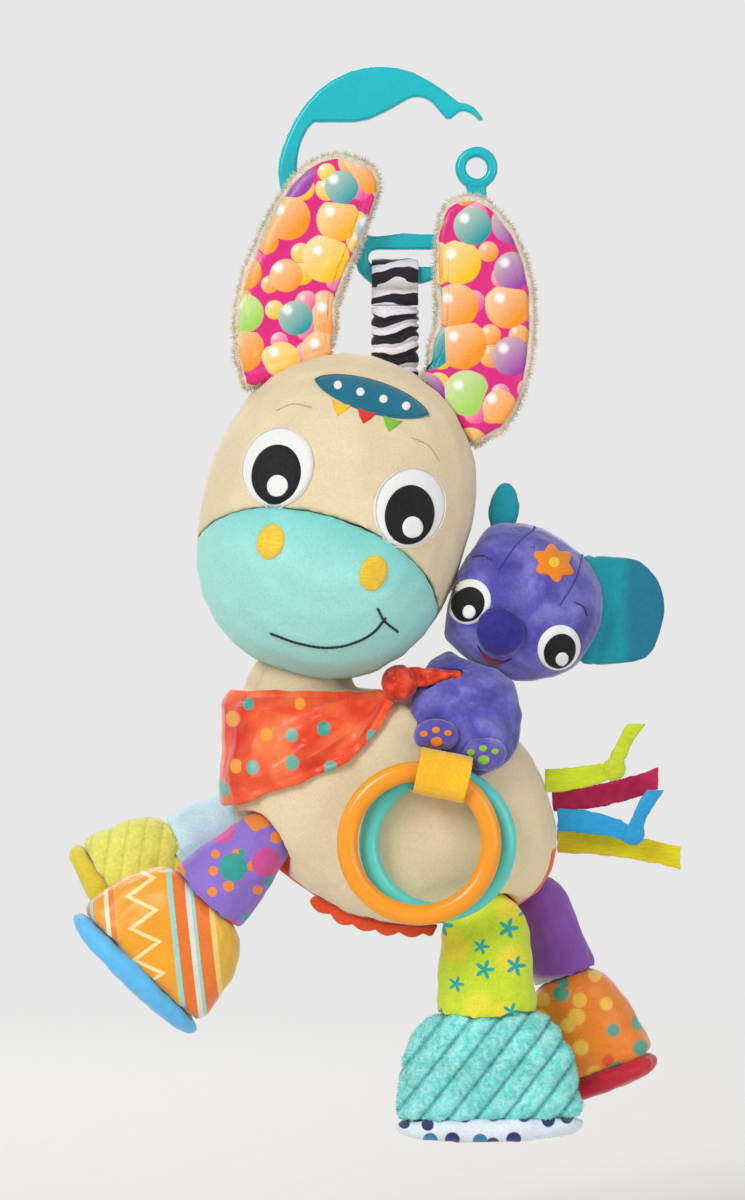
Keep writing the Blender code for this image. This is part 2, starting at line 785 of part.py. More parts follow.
def make_sleeve(parent, top):
    """Open tube whose cloth swells and draws in at each gather."""
    steps = 3 * GATHER_COUNT
    outer, inner = [], []
    for k in range(steps + 1):
        z = top - SLEEVE_LENGTH * k / steps
        swell = GATHER_DEPTH * (1 - math.cos(2 * math.pi * GATHER_COUNT * k / steps)) / 2
        width = STRAP_WIDTH - 2 * GATHER_DEPTH + 2 * swell
        thickness = SLEEVE_THICKNESS - 2 * GATHER_DEPTH + 2 * swell
        outer.append(sleeve_ring(width, thickness, z))
        if k % 3 == 0:
            wall = 2 * (SLEEVE_WALL + GATHER_DEPTH)
            inner.append(sleeve_ring(STRAP_WIDTH - wall, SLEEVE_THICKNESS - wall, z))
    rings = outer + inner[::-1]
    count = len(rings[0])
    points = [np.array(point) for ring in rings for point in ring]
    faces = []
    for k in range(len(rings)):
        a, b = k * count, (k + 1) % len(rings) * count
        for i in range(count):
            j = (i + 1) % count
            faces.append((a + i, a + j, b + j, b + i))
    return piece("strap_sleeve", parent, turned_out(points, faces), STRIPED_CLOTH)


def make_elastic(parent, top):
    band = plate(oval(ELASTIC_WIDTH, ELASTIC_THICKNESS, 12, ELASTIC_SQUARENESS), 0.0, SLEEVE_LENGTH)
    points = [np.array((p[0], p[2], top - p[1])) for p in band[0]]
    return piece("strap_elastic", parent, turned_out(points, band[1]), ELASTIC)


# Donkey's head


def head_blank():
    """Head in its own upright axes, its lower front swollen into a muzzle."""
    outline = oval(HEAD_WIDTH, HEAD_HEIGHT, 34, HEAD_SQUARENESS)
    points, faces = pillow(outline, HEAD_FRONT_DEPTH, HEAD_BACK_DEPTH, 7, HEAD_FULLNESS)
    swollen = []
    for x, y, z in points:
        low = min(1.0, max(0.0, 0.5 - 2 * z / HEAD_HEIGHT))
        swell = 1 + MUZZLE_SWELL_SHARE * low * low * (3 - 2 * low) if y < 0 else 1.0
        swollen.append(np.array((x, y * swell, z)))
    return swollen, faces


def muzzle_outline(inset):
    """Arch over the muzzle, run out past the jaw."""
    half = MUZZLE_ARCH_WIDTH / 2 - inset
    arch = []
    for step in range(15):
        turn = math.pi * step / 14
        height = (MUZZLE_ARCH_HEIGHT - inset) * math.sin(turn) - MUZZLE_ARCH_HEIGHT - MUZZLE_DROP
        arch.append(np.array((half * math.cos(turn), height)))
    side = HEAD_WIDTH / 2 + OVERRUN
    shoulder = -MUZZLE_ARCH_HEIGHT - MUZZLE_DROP - inset
    ends = [(-side, shoulder), (-side, -HEAD_HEIGHT), (side, -HEAD_HEIGHT), (side, shoulder)]
    return arch + [np.array(end) for end in ends]


def make_head(head, tilted, strap_end):
    blank = head_blank()
    body = piece("head", tilted, blank, CREAM_VELOUR)
    front = -HEAD_FRONT_DEPTH - OVERRUN
    cut(body, cutter("muzzle_room", tilted, plate(muzzle_outline(0.0), front, -SEAM_GAP)))
    muzzle = piece("muzzle", tilted, blank, MINT_VELOUR)
    keep(muzzle, cutter("muzzle_form", tilted, plate(muzzle_outline(SEAM_GAP), front, -2 * SEAM_GAP)))
    eye = oval(EYE_WIDTH, EYE_HEIGHT, 20)
    pupil = oval(PUPIL_WIDTH, PUPIL_HEIGHT, 18)
    nostril = oval(NOSTRIL_WIDTH, NOSTRIL_HEIGHT, 14)
    stack = SEAM_GAP + FELT_THICKNESS
    for side, sign in (("left", -1), ("right", 1)):
        x = sign * EYE_SPREAD
        patch("eye_white_" + side, tilted, blank, at(eye, x, EYE_RISE), WHITE_FELT)
        patch("pupil_" + side, tilted, blank, at(pupil, x + PUPIL_SHIFT, EYE_RISE), BLACK_FELT, stack)
        x = sign * NOSTRIL_SPREAD
        patch("nostril_" + side, tilted, blank, at(nostril, x, -NOSTRIL_DROP), YELLOW_THREAD)
    leaf = oval(BAND_LENGTH, BAND_HEIGHT, 18)
    patch("forehead_band", tilted, blank, at(leaf, 0.0, BAND_RISE), BAND_CLOTH)
    wide = STRAP_WIDTH / 2 + SEAM_GAP
    thick = SLEEVE_THICKNESS / 2 + SEAM_GAP
    corners = [np.array(corner) for corner in ((-wide, 0.0), (wide, 0.0), (wide, OVERRUN), (-wide, OVERRUN))]
    pocket = plate(corners, -thick, thick)
    pocket = moved(pocket, x=HEAD_LEFT_OF_STRAP, y=HEAD_AHEAD_OF_STRAP, z=strap_end - SEAM_GAP)
    cut(body, cutter("strap_pocket", head, pocket))
    return body, muzzle, blank


# Donkey's ears: plush back, crinkling film and satin lining

LEFT_EAR_SHARES = (
    (0.22, 0.00),
    (0.32, 0.21),
    (0.53, 0.49),
    (0.695, 0.73),
    (0.70, 0.86),
    (0.55, 0.967),
    (0.38, 0.955),
    (0.19, 0.833),
    (-0.066, 0.543),
    (-0.20, 0.274),
    (-0.22, 0.00),
)
RIGHT_EAR_SHARES = (
    (0.22, 0.00),
    (0.231, 0.212),
    (0.05, 0.463),
    (-0.212, 0.673),
    (-0.504, 0.78),
    (-0.72, 0.76),
    (-0.815, 0.66),
    (-0.80, 0.53),
    (-0.58, 0.327),
    (-0.367, 0.163),
    (-0.22, 0.00),
)


def ear_relief(width):
    """Room that the ear's root needs as it flops forward, as seen along its fold."""
    reach = EAR_ROLL_RADIUS + TURN_GAP
    lean = EAR_FLOP
    outline = []
    for step in range(9):
        turn = (math.pi + lean) * step / 8
        outline.append(np.array((reach * math.cos(turn), -reach * math.sin(turn))))
    far = OVERRUN
    c, s = math.cos(lean), math.sin(lean)
    outline.append(np.array((-reach * c - far * s, reach * s + far * c)))
    outline.append(np.array((reach, far)))
    return along_x(outline, -width, width)


def make_ear(name, axis, shares):
    outline = smooth_loop(scaled(shares, EAR_LENGTH, EAR_LENGTH), 2)
    back = pillow(outline, EAR_FRONT_DEPTH, EAR_BACK_DEPTH, 4, EAR_FULLNESS)
    half = shares[0][0] * EAR_LENGTH
    plush = piece("ear_back_" + name, axis, back, PLUSH)
    roll = rod((-half, 0.0, 0.0), (half, 0.0, 0.0), EAR_ROLL_RADIUS, 12)
    join(plush, cutter("ear_roll_" + name, axis, roll))
    middle = np.mean(outline, axis=0)
    inner = [middle + EAR_HEM_SHARE * (point - middle) for point in outline]
    centre = middle + np.array((0.0, EAR_ROLL_RADIUS / 2))
    room = [centre + (point - middle) * (1 + SEAM_GAP / EAR_ROLL_RADIUS / 2) for point in inner]
    inner = [centre + point - middle for point in inner]
    floor = -LINING_THICKNESS + FILM_THICKNESS
    cut(plush, cutter("lining_room_" + name, axis, plate(room, -OVERRUN, floor)))
    film_back = floor - SEAM_GAP
    piece("ear_film_" + name, axis, plate(inner, film_back - FILM_THICKNESS, film_back), FILM)
    lining_back = film_back - FILM_THICKNESS - SEAM_GAP
    lining = pillow(inner, LINING_CROWN, 0.0, 3, EAR_FULLNESS)
    flat = [np.array((p[0], min(p[1], 0.0) + lining_back - SEAM_GAP, p[2])) for p in lining[0]]
    piece("ear_lining_" + name, axis, (flat, lining[1]), LINING)
    return plush


# Donkey's body: near and far panels with a gusset between them

BODY_SHARES = (  # over the body's length and height, from its centre
    (-0.487, 0.480),
    (-0.520, 0.242),
    (-0.513, 0.000),
    (-0.454, -0.150),
    (-0.348, -0.275),
    (-0.151, -0.440),
    (0.076, -0.484),
    (0.286, -0.445),
    (0.445, -0.341),
    (0.498, -0.165),
    (0.482, 0.000),
    (0.420, 0.209),
    (0.286, 0.374),
    (0.118, 0.450),
    (-0.067, 0.480),
    (-0.290, 0.505),
)


def body_outline():
    return smooth_loop(scaled(BODY_SHARES, BODY_LENGTH, BODY_HEIGHT), 2)


def body_blank():
    return pillow(body_outline(), BODY_DEPTH / 2, BODY_DEPTH / 2, 7, BODY_FULLNESS, (0.0, 0.0))


def slab(front, back):
    reach = BODY_LENGTH
    corners = [(-reach, -reach), (reach, -reach), (reach, reach), (-reach, reach)]
    return plate([np.array(corner) for corner in corners], front, back)


def neck_ball(gap):
    return grown(ball(2 * NECK_RADIUS, NECK_DEPTH, 2 * NECK_RADIUS, 24, 6), gap)


def round_ball(radius, segments, rings):
    return ball(2 * radius, 2 * radius, 2 * radius, segments, rings)


def make_body(parent, sockets):
    blank = body_blank()
    knob = moved(neck_ball(0.0), x=-NECK_LEFT_OF_BODY, z=NECK_ABOVE_BODY)
    neck = cutter("neck_form", parent, knob)
    capsule = cutter("capsule_room", parent, grown(round_ball(CAPSULE_RADIUS, 16, 5), SEAM_GAP))
    half = GUSSET_WIDTH / 2
    deep = BODY_DEPTH + OVERRUN
    slices = (
        ("body_near", -deep, -half, CREAM_VELOUR),
        ("body_gusset", SEAM_GAP - half, half - SEAM_GAP, ORANGE_CLOTH),
        ("body_far", half, deep, CREAM_VELOUR),
    )
    for name, front, back, look in slices:
        obj = piece(name, parent, blank, look)
        join(obj, neck)
        keep(obj, cutter(name + "_slab", parent, slab(front, back)))
        cut(obj, capsule, *sockets)
    return blank


def make_capsule(parent):
    """Two half shells that clip together round three beads."""
    outer = round_ball(CAPSULE_RADIUS, 16, 5)
    inner = cutter("capsule_bore", parent, round_ball(CAPSULE_RADIUS - CAPSULE_WALL, 16, 5))
    reach = BODY_DEPTH
    for name, front, back in (("near", -reach, -SEAM_GAP / 2), ("far", SEAM_GAP / 2, reach)):
        shell = piece("rattle_shell_" + name, parent, outer, CLEAR_PLASTIC)
        keep(shell, cutter(name + "_half", parent, slab(front, back)))
        cut(shell, inner)


def make_beads(axis):
    track = CAPSULE_RADIUS - CAPSULE_WALL - SEAM_GAP - BEAD_RADIUS
    for number in (1, 2, 3):
        turn = (number - 2) * BEAD_SPACING_TURN
        place = moved(round_ball(BEAD_RADIUS, 10, 3), x=track * math.sin(turn), z=-track * math.cos(turn))
        piece("rattle_bead_" + str(number), axis, place, BEAD_PLASTIC)


def make_trim(parent, blank, sockets):
    """Scalloped edging that stands out of the belly seam."""
    outline = body_outline()
    low = [p for p in outline if p[1] < -BODY_HEIGHT / 4 and abs(p[0]) < BODY_LENGTH * TRIM_SPAN_SHARE]
    low.sort(key=lambda point: point[0])
    steps = np.cumsum([0.0] + [np.linalg.norm(b - a) for a, b in zip(low, low[1:])])
    count = TRIM_STEPS * max(2, round(steps[-1] / TRIM_SCALLOP))
    outer, inner = [], []
    for k in range(count + 1):
        s = steps[-1] * k / count
        point = np.array([np.interp(s, steps, [p[axis] for p in low]) for axis in (0, 1)])
        out = point / np.linalg.norm(point)
        wave = abs(math.sin(math.pi * k / TRIM_STEPS))
        outer.append(point + out * TRIM_REACH * (TRIM_BASE_SHARE + (1 - TRIM_BASE_SHARE) * wave))
        inner.append(point - out * TRIM_ROOT)
    middle = -GUSSET_WIDTH / 2
    shape = plate(outer + inner[::-1], middle - TRIM_THICKNESS / 2, middle + TRIM_THICKNESS / 2)
    trim = piece("belly_trim", parent, shape, ORANGE_CLOTH)
    return cut(trim, cutter("trim_bed", parent, grown(blank, SEAM_GAP)), *sockets)


# Kerchief, tied round the neck


def folded(shape, distance):
    """The body's skin moved out by the distance, with folds that fan out from the knot."""
    points, faces = grown(shape, distance)
    skin = grown(shape, 1.0)[0]
    source = shape[0]
    waved = []
    for point, beyond, root in zip(points, skin, source):
        turn = math.atan2(KNOT_ABOVE_BODY - root[2], KNOT_RIGHT_OF_BODY - root[0])
        wave = FOLD_DEPTH * (1 + math.sin(2 * FOLD_COUNT * turn)) / 2
        waved.append(point + (beyond - root) * wave)
    return waved, faces


KERCHIEF_NEAR_SHARES = (
    (-0.60, 0.475),
    (-0.052, 0.475),
    (-0.012, 0.430),
    (-0.042, 0.340),
    (-0.143, 0.198),
    (-0.286, 0.121),
    (-0.490, 0.020),
    (-0.60, 0.005),
)
KERCHIEF_FAR_SHARES = (
    (-0.60, 0.475),
    (-0.052, 0.475),
    (-0.012, 0.430),
    (-0.120, 0.330),
    (-0.350, 0.240),
    (-0.60, 0.210),
)


def dense_body():
    """The body's skin with more points, for cloth that follows it."""
    outline = smooth_loop(scaled(BODY_SHARES, BODY_LENGTH, BODY_HEIGHT), 3)
    return pillow(outline, BODY_DEPTH / 2, BODY_DEPTH / 2, 8, BODY_FULLNESS, (0.0, 0.0))


def make_kerchief(parent):
    outer = folded(dense_body(), SEAM_GAP + SEAM_GAP + CLOTH_THICKNESS)
    cloth = piece("kerchief", parent, outer, KERCHIEF_SATIN)
    deep = BODY_DEPTH
    near = plate(scaled(KERCHIEF_NEAR_SHARES, BODY_LENGTH, BODY_HEIGHT), -deep, SEAM_GAP)
    far = plate(scaled(KERCHIEF_FAR_SHARES, BODY_LENGTH, BODY_HEIGHT), 0.0, deep)
    region = cutter("kerchief_near", parent, near)
    join(region, cutter("kerchief_far", parent, far))
    keep(cloth, region)
    bed = cutter("kerchief_bed", parent, folded(dense_body(), SEAM_GAP + SEAM_GAP))
    knob = moved(neck_ball(SEAM_GAP), x=-NECK_LEFT_OF_BODY, z=NECK_ABOVE_BODY)
    return cut(cloth, bed, cutter("neck_room", parent, knob))


def knot_ball(gap):
    shape = grown(ball(KNOT_WIDTH, KNOT_DEPTH, KNOT_HEIGHT, 14, 4), gap)
    return moved(shape, x=KNOT_RIGHT_OF_BODY, y=-KNOT_AHEAD, z=KNOT_ABOVE_BODY)


def knot_tail(gap):
    """Pointed corner of the kerchief, flat and standing out to the right of the knot."""
    start = KNOT_RIGHT_OF_BODY + KNOT_WIDTH / 4
    rings = []
    for k in range(6):
        share = k / 5
        x = start + (KNOT_TAIL_LENGTH + KNOT_WIDTH / 4) * share
        half = KNOT_TAIL_WIDTH / 2 * (1 - share) ** TAIL_TAPER_SHARE + CLOTH_THICKNESS / 2
        z = KNOT_ABOVE_BODY + half / 2 + KNOT_TAIL_RISE * share
        profile = oval(2 * half, 2 * CLOTH_THICKNESS, 10)
        rings.append([(x, y - KNOT_AHEAD, z + height) for height, y in profile])
    first = np.mean(rings[0], axis=0)
    last = np.mean(rings[-1], axis=0)
    return grown(lofted(rings, first, last), gap)


def make_knot(parent, cloth_room, head_room):
    knot = piece("kerchief_knot", parent, knot_ball(0.0), KERCHIEF_SATIN)
    join(knot, cutter("knot_tail", parent, knot_tail(0.0)))
    return cut(knot, cloth_room, head_room)


# Rings and the ribbon tab that holds them


def torus(diameter, tube, segments=28, sides=8):
    radius = (diameter - tube) / 2
    points, faces = [], []
    for i in range(segments):
        turn = 2 * math.pi * i / segments
        for j in range(sides):
            roll = 2 * math.pi * (j + 0.5) / sides
            reach = radius + tube / 2 * math.cos(roll)
            depth = tube / 2 * math.sin(roll)
            points.append(np.array((reach * math.sin(turn), depth, reach * math.cos(turn))))
            here, there = i * sides, (i + 1) % segments * sides
            j_next = (j + 1) % sides
            faces.append((here + j, there + j, there + j_next, here + j_next))
    return turned_out(points, faces)


def make_ring(name, axis, diameter, tube, lean, look):
    """Ring whose upper tube passes through the axis, hung to one side by its lean."""
    radius = (diameter - tube) / 2
    ring = moved(torus(diameter, tube), x=-radius * math.sin(lean), z=-radius * math.cos(lean))
    return piece(name, axis, ring, look)


def obround(half_y, low, high, y_middle, steps=5):
    """Tall outline in the YZ plane with its four corners rounded."""
    radius = min(half_y, (high - low) / 2) * TAB_ROUND_SHARE
    outline = []
    for cy, cz, first in (
        (half_y - radius, high - radius, 0),
        (radius - half_y, high - radius, 90),
        (radius - half_y, low + radius, 180),
        (half_y - radius, low + radius, 270),
    ):
        for step in range(steps):
            turn = math.radians(first + 90 * step / (steps - 1))
            outline.append(np.array((y_middle + cy + radius * math.cos(turn), cz + radius * math.sin(turn))))
    return outline


def tab_block(y_front, y_back):
    """The tab's outer form, filled."""
    outer = obround((y_back - y_front) / 2, -TAB_FALL, TAB_RISE, (y_front + y_back) / 2)
    return along_x(outer, -TAB_WIDTH / 2, TAB_WIDTH / 2)


def make_tab(parent, y_front, y_back):
    """Ribbon loop round both rings, sewn to the body along its back."""
    middle, half = (y_front + y_back) / 2, (y_back - y_front) / 2
    inner = obround(half - TAB_RIBBON, TAB_RIBBON - TAB_FALL, TAB_RISE - TAB_RIBBON, middle)
    tab = piece("ring_tab", parent, tab_block(y_front, y_back), TAB_RIBBON_CLOTH)
    return cut(tab, cutter("tab_bore", parent, along_x(inner, -TAB_WIDTH, TAB_WIDTH)))


# Koala


def koala_blank():
    outline = oval(KOALA_HEAD_WIDTH, KOALA_HEAD_HEIGHT, 26, KOALA_SQUARENESS)
    return pillow(outline, KOALA_HEAD_DEPTH / 2, KOALA_HEAD_DEPTH / 2, 6, KOALA_FULLNESS)


KOALA_EAR_SHARES = (
    (0.0, 0.5),
    (0.62, 0.46),
    (0.98, 0.2),
    (1.0, -0.12),
    (0.72, -0.44),
    (0.0, -0.5),
)


def koala_ear_shape(sign):
    """Rounded flap of doubled felt whose inner side is sewn along the head."""
    outline = smooth_run(scaled(KOALA_EAR_SHARES, sign * KOALA_EAR_WIDTH, KOALA_EAR_HEIGHT), 3)
    root = -sign * KOALA_EAR_ROOT
    outline += [np.array((root, outline[end][1])) for end in (-1, 0)]
    return plate(outline, -KOALA_EAR_THICKNESS / 2, KOALA_EAR_THICKNESS / 2)


def nodding(name, tilted, shape):
    """Cutters of a shape at the middle and the two ends of the head's nod."""
    turns = (("left", -KOALA_NOD), ("middle", 0.0), ("right", KOALA_NOD))
    return [cutter(name + end, tilted, moved(shape, turn=turn)) for end, turn in turns]


def make_koala(seat, tilted, left_ear, right_ear, rooms, beside):
    """Koala whose head nods clear of what it leans on, given in its own axes."""
    blank = koala_blank()
    nods = nodding("nod_room_", tilted, beside)
    head = piece("koala_head", tilted, blank, PURPLE_VELOUR)
    cut(head, *nods)
    eye = oval(KOALA_EYE_SIZE, KOALA_EYE_SIZE, 16)
    for side, sign in (("left", -1), ("right", 1)):
        place = at(eye, sign * KOALA_EYE_SPREAD, -KOALA_EYE_DROP)
        felt = patch("koala_eye_" + side, tilted, blank, place, WHITE_FELT)
        if side == "left":
            cut(felt, *nods)
    front = hit(blank, (-KOALA_NOSE_LEFT, -OVERRUN - OVERRUN, -KOALA_NOSE_DROP), (0.0, 1.0, 0.0))
    nose = ball(KOALA_NOSE_WIDTH, KOALA_NOSE_DEPTH, KOALA_NOSE_HEIGHT, 14, 4)
    nose = piece("koala_nose", tilted, moved(nose, x=front[0], y=front[1], z=front[2]), NOSE_FELT)
    cut(nose, cutter("nose_bed", tilted, grown(blank, SEAM_GAP)))
    round_room = cutter("koala_ear_bed", tilted, grown(blank, TURN_GAP))
    for name, axis, sign in (("left", left_ear, -1), ("right", right_ear, 1)):
        flap = piece("koala_ear_" + name, axis, koala_ear_shape(sign), TEAL_FELT)
        cut(flap, round_room, *nods)
    outline = oval(KOALA_BODY_WIDTH, KOALA_BODY_HEIGHT, 20, KOALA_BODY_SQUARENESS)
    upright = pillow(outline, KOALA_BODY_DEPTH / 2, KOALA_BODY_DEPTH / 2, 5, KOALA_FULLNESS)
    leaned = [np.array((x, y + KOALA_BODY_LEAN_SHARE * z, z)) for x, y, z in upright[0]]
    body = (leaned, upright[1])
    turning = nodding("head_room_", tilted, grown(blank, SEAM_GAP))
    trunk = piece("koala_body", seat, body, PURPLE_VELOUR)
    cut(trunk, *turning, *rooms)
    skin = cutter("koala_body_room", seat, grown(body, SEAM_GAP))
    form = ball(KOALA_FOOT_WIDTH, KOALA_FOOT_DEPTH, KOALA_FOOT_HEIGHT, 14, 4)
    for side, x, drop in (
        ("left", LEFT_FOOT_X, LEFT_FOOT_DROP),
        ("right", RIGHT_FOOT_X, RIGHT_FOOT_DROP),
    ):
        place = moved(form, x=x, y=-FOOT_AHEAD, z=-drop)
        foot = piece("koala_foot_" + side, seat, place, FOOT_VELOUR)
        cut(foot, skin, *rooms)


# Legs and boots, in axes that hang straight down from the hip

FRONT_LEG = (
    FRONT_LEG_RADIUS,
    FRONT_LEG_DEPTH,
    FRONT_LEG_END_WIDTH,
    FRONT_LEG_END_DEPTH,
    FRONT_LEG_LENGTH,
)
REAR_LEG = (
    REAR_LEG_RADIUS,
    REAR_LEG_DEPTH,
    REAR_LEG_END_WIDTH,
    REAR_LEG_END_DEPTH,
    REAR_LEG_LENGTH,
)
FAR_REAR_LEG = (
    FAR_REAR_LEG_RADIUS,
    FAR_REAR_LEG_DEPTH,
    FAR_REAR_LEG_END_WIDTH,
    FAR_REAR_LEG_END_DEPTH,
    FAR_REAR_LEG_LENGTH,
)
FRONT_BOOT = (FRONT_BOOT_TOP_WIDTH, FRONT_BOOT_WIDTH, FRONT_BOOT_HEIGHT, FRONT_BOOT_DEPTH)
FAR_BOOT = (FAR_BOOT_TOP_WIDTH, FAR_BOOT_WIDTH, FAR_BOOT_HEIGHT, FAR_BOOT_DEPTH)
REAR_BOOT = (REAR_BOOT_TOP_WIDTH, REAR_BOOT_WIDTH, REAR_BOOT_HEIGHT, REAR_BOOT_DEPTH)
FAR_REAR_BOOT = (
    FAR_REAR_BOOT_TOP_WIDTH,
    FAR_REAR_BOOT_WIDTH,
    FAR_REAR_BOOT_HEIGHT,
    FAR_REAR_BOOT_DEPTH,
)
LEG_SET = (
    ("near_front", FRONT_LEG, FRONT_BOOT, (LILAC_CLOTH, ORANGE_PRINT, BLUE_SOLE)),
    ("far_front", FRONT_LEG, FAR_BOOT, (PALE_BLUE_CLOTH, YELLOW_PLUSH, YELLOW_SOLE)),
    ("near_rear", REAR_LEG, REAR_BOOT, (LIME_CLOTH, CORD_PLUSH, WHITE_SOLE)),
    ("far_rear", FAR_REAR_LEG, FAR_REAR_BOOT, (PURPLE_CLOTH, AMBER_PRINT, RED_SOLE)),
)


def limb(radius, depth, end_width, end_depth, length):
    """Stuffed limb whose upper end is round about the hip's axis."""
    steps = 4
    rings = []
    for k in range(1, steps + 1):
        turn = math.pi / 2 * k / steps
        rings.append((radius * math.sin(turn), depth / 2 * math.sin(turn), radius * math.cos(turn)))
    for k in range(1, steps + 1):
        share = k / steps
        half = flank(radius, end_width, share)
        rings.append((half, flank(depth / 2, end_depth, share), -length * share))
    loops = []
    for half, deep, z in rings:
        outline = oval(2 * half, 2 * deep, 16, first=0.5)
        loops.append([(x, y, z) for x, y in outline])
    return lofted(loops, (0.0, 0.0, radius), (0.0, 0.0, -length))


def boot_shape(top_width, width, height, depth, top):
    """Boot that widens from the ankle to the toe and heel, closed flat over its sole."""
    loops = []
    for down, wide_share, deep_share in BOOT_SHARES:
        full = top_width + (width - top_width) * down
        outline = oval(full * wide_share, depth * deep_share, 20, BOOT_SQUARENESS)
        loops.append([(x, y, top - height * down) for x, y in outline])
    return lofted(loops, (0.0, 0.0, top), (0.0, 0.0, top - height))


def sole_shape(width, depth, top):
    """Padded sole with a rounded rim, a little fuller than the boot above it."""
    loops = []
    for down, share in SOLE_SHARES:
        outline = oval(width * share, depth * share, 20, BOOT_SQUARENESS)
        loops.append([(x, y, top - SOLE_THICKNESS * down) for x, y in outline])
    return lofted(loops, (0.0, 0.0, top), (0.0, 0.0, top - SOLE_THICKNESS))


def make_leg(name, hip, leg_sizes, boot_sizes, looks):
    radius, depth, end_width, end_depth, length = leg_sizes
    top_width, width, height, boot_depth = boot_sizes
    leg = piece("leg_" + name, hip, limb(radius, depth, end_width, end_depth, length), looks[0])
    top = BOOT_LAP - length
    boot = boot_shape(top_width, width, height, boot_depth, top)
    piece("boot_" + name, hip, boot, looks[1])
    cut(leg, cutter("boot_room_" + name, hip, grown(boot, SEAM_GAP)))
    piece("sole_" + name, hip, sole_shape(width, boot_depth, top - height - SEAM_GAP), looks[2])


def flank(radius, end_width, share):
    """Half width of a limb at a share of its length."""
    return radius + (end_width / 2 - radius) * math.sin(math.pi / 2 * share)


def swing_room(name, hip, leg_sizes):
    """Rooms in the body for a limb's round end and for its flanks as they swing."""
    radius, depth, end_width, end_depth, length = leg_sizes
    ball_room = grown(ball(2 * radius, depth, 2 * radius, 20, 5), TURN_GAP)
    side = []
    for k in range(5):
        share = k / 8
        x, z = flank(radius, end_width, share) + TURN_GAP, -length * share
        c, s = math.cos(LEG_SWING), math.sin(LEG_SWING)
        side.append(np.array((c * x - s * z, s * x + c * z)))
    mirrored = [np.array((-x, z)) for x, z in side]
    reach = end_depth / 2 + TURN_GAP
    fan = plate(mirrored + side[::-1], -reach, reach)
    return [cutter(name + "_socket", hip, ball_room), cutter(name + "_fan", hip, fan)]


# Tail ribbons


def ribbon(length, knotted, bow):
    """Flat ribbon from its fold at the rump, with a knot and a turned-up end, or cut square."""
    half = RIBBON_WIDTH / 2
    rings = []
    for k in range(7):
        share = k / 6
        x = length * share
        rise = bow * RIBBON_WIDTH * share * share
        squeeze = 1 - KNOT_SQUEEZE_SHARE * share**3 if knotted else 1.0
        thick = RIBBON_THICKNESS * (2 - squeeze)
        rings.append([(x, y, rise + z) for z, y in oval(2 * half * squeeze, thick, 8, RIBBON_SQUARENESS)])
    first, last = np.mean(rings[0], axis=0), np.mean(rings[-1], axis=0)
    return lofted(rings, first, last)


def make_ribbon(name, axis, length, knotted, bow, look):
    obj = piece("ribbon_" + name, axis, ribbon(length, knotted, bow), look)
    if knotted:
        rise = bow * RIBBON_WIDTH
        knot = moved(ball(RIBBON_KNOT, RIBBON_KNOT_DEPTH, RIBBON_KNOT, 10, 3), x=length, z=rise)
        join(obj, cutter(name + "_knot", axis, knot))
        rings = []
        for k in range(4):
            share = k / 3
            x = length + RIBBON_END_LENGTH * (END_LEAN_SHARE * share + share * share / 4)
            z = rise + RIBBON_END_LENGTH * share
            wide = RIBBON_END_WIDTH * (1 + share / 3)
            outline = oval(wide, 2 * RIBBON_THICKNESS, 8, RIBBON_END_SQUARENESS)
            rings.append([(x + across, y, z) for across, y in outline])
        first, last = np.mean(rings[0], axis=0), np.mean(rings[-1], axis=0)
        join(obj, cutter(name + "_end", axis, lofted(rings, first, last)))
    return obj


# Assembly, from the hook down


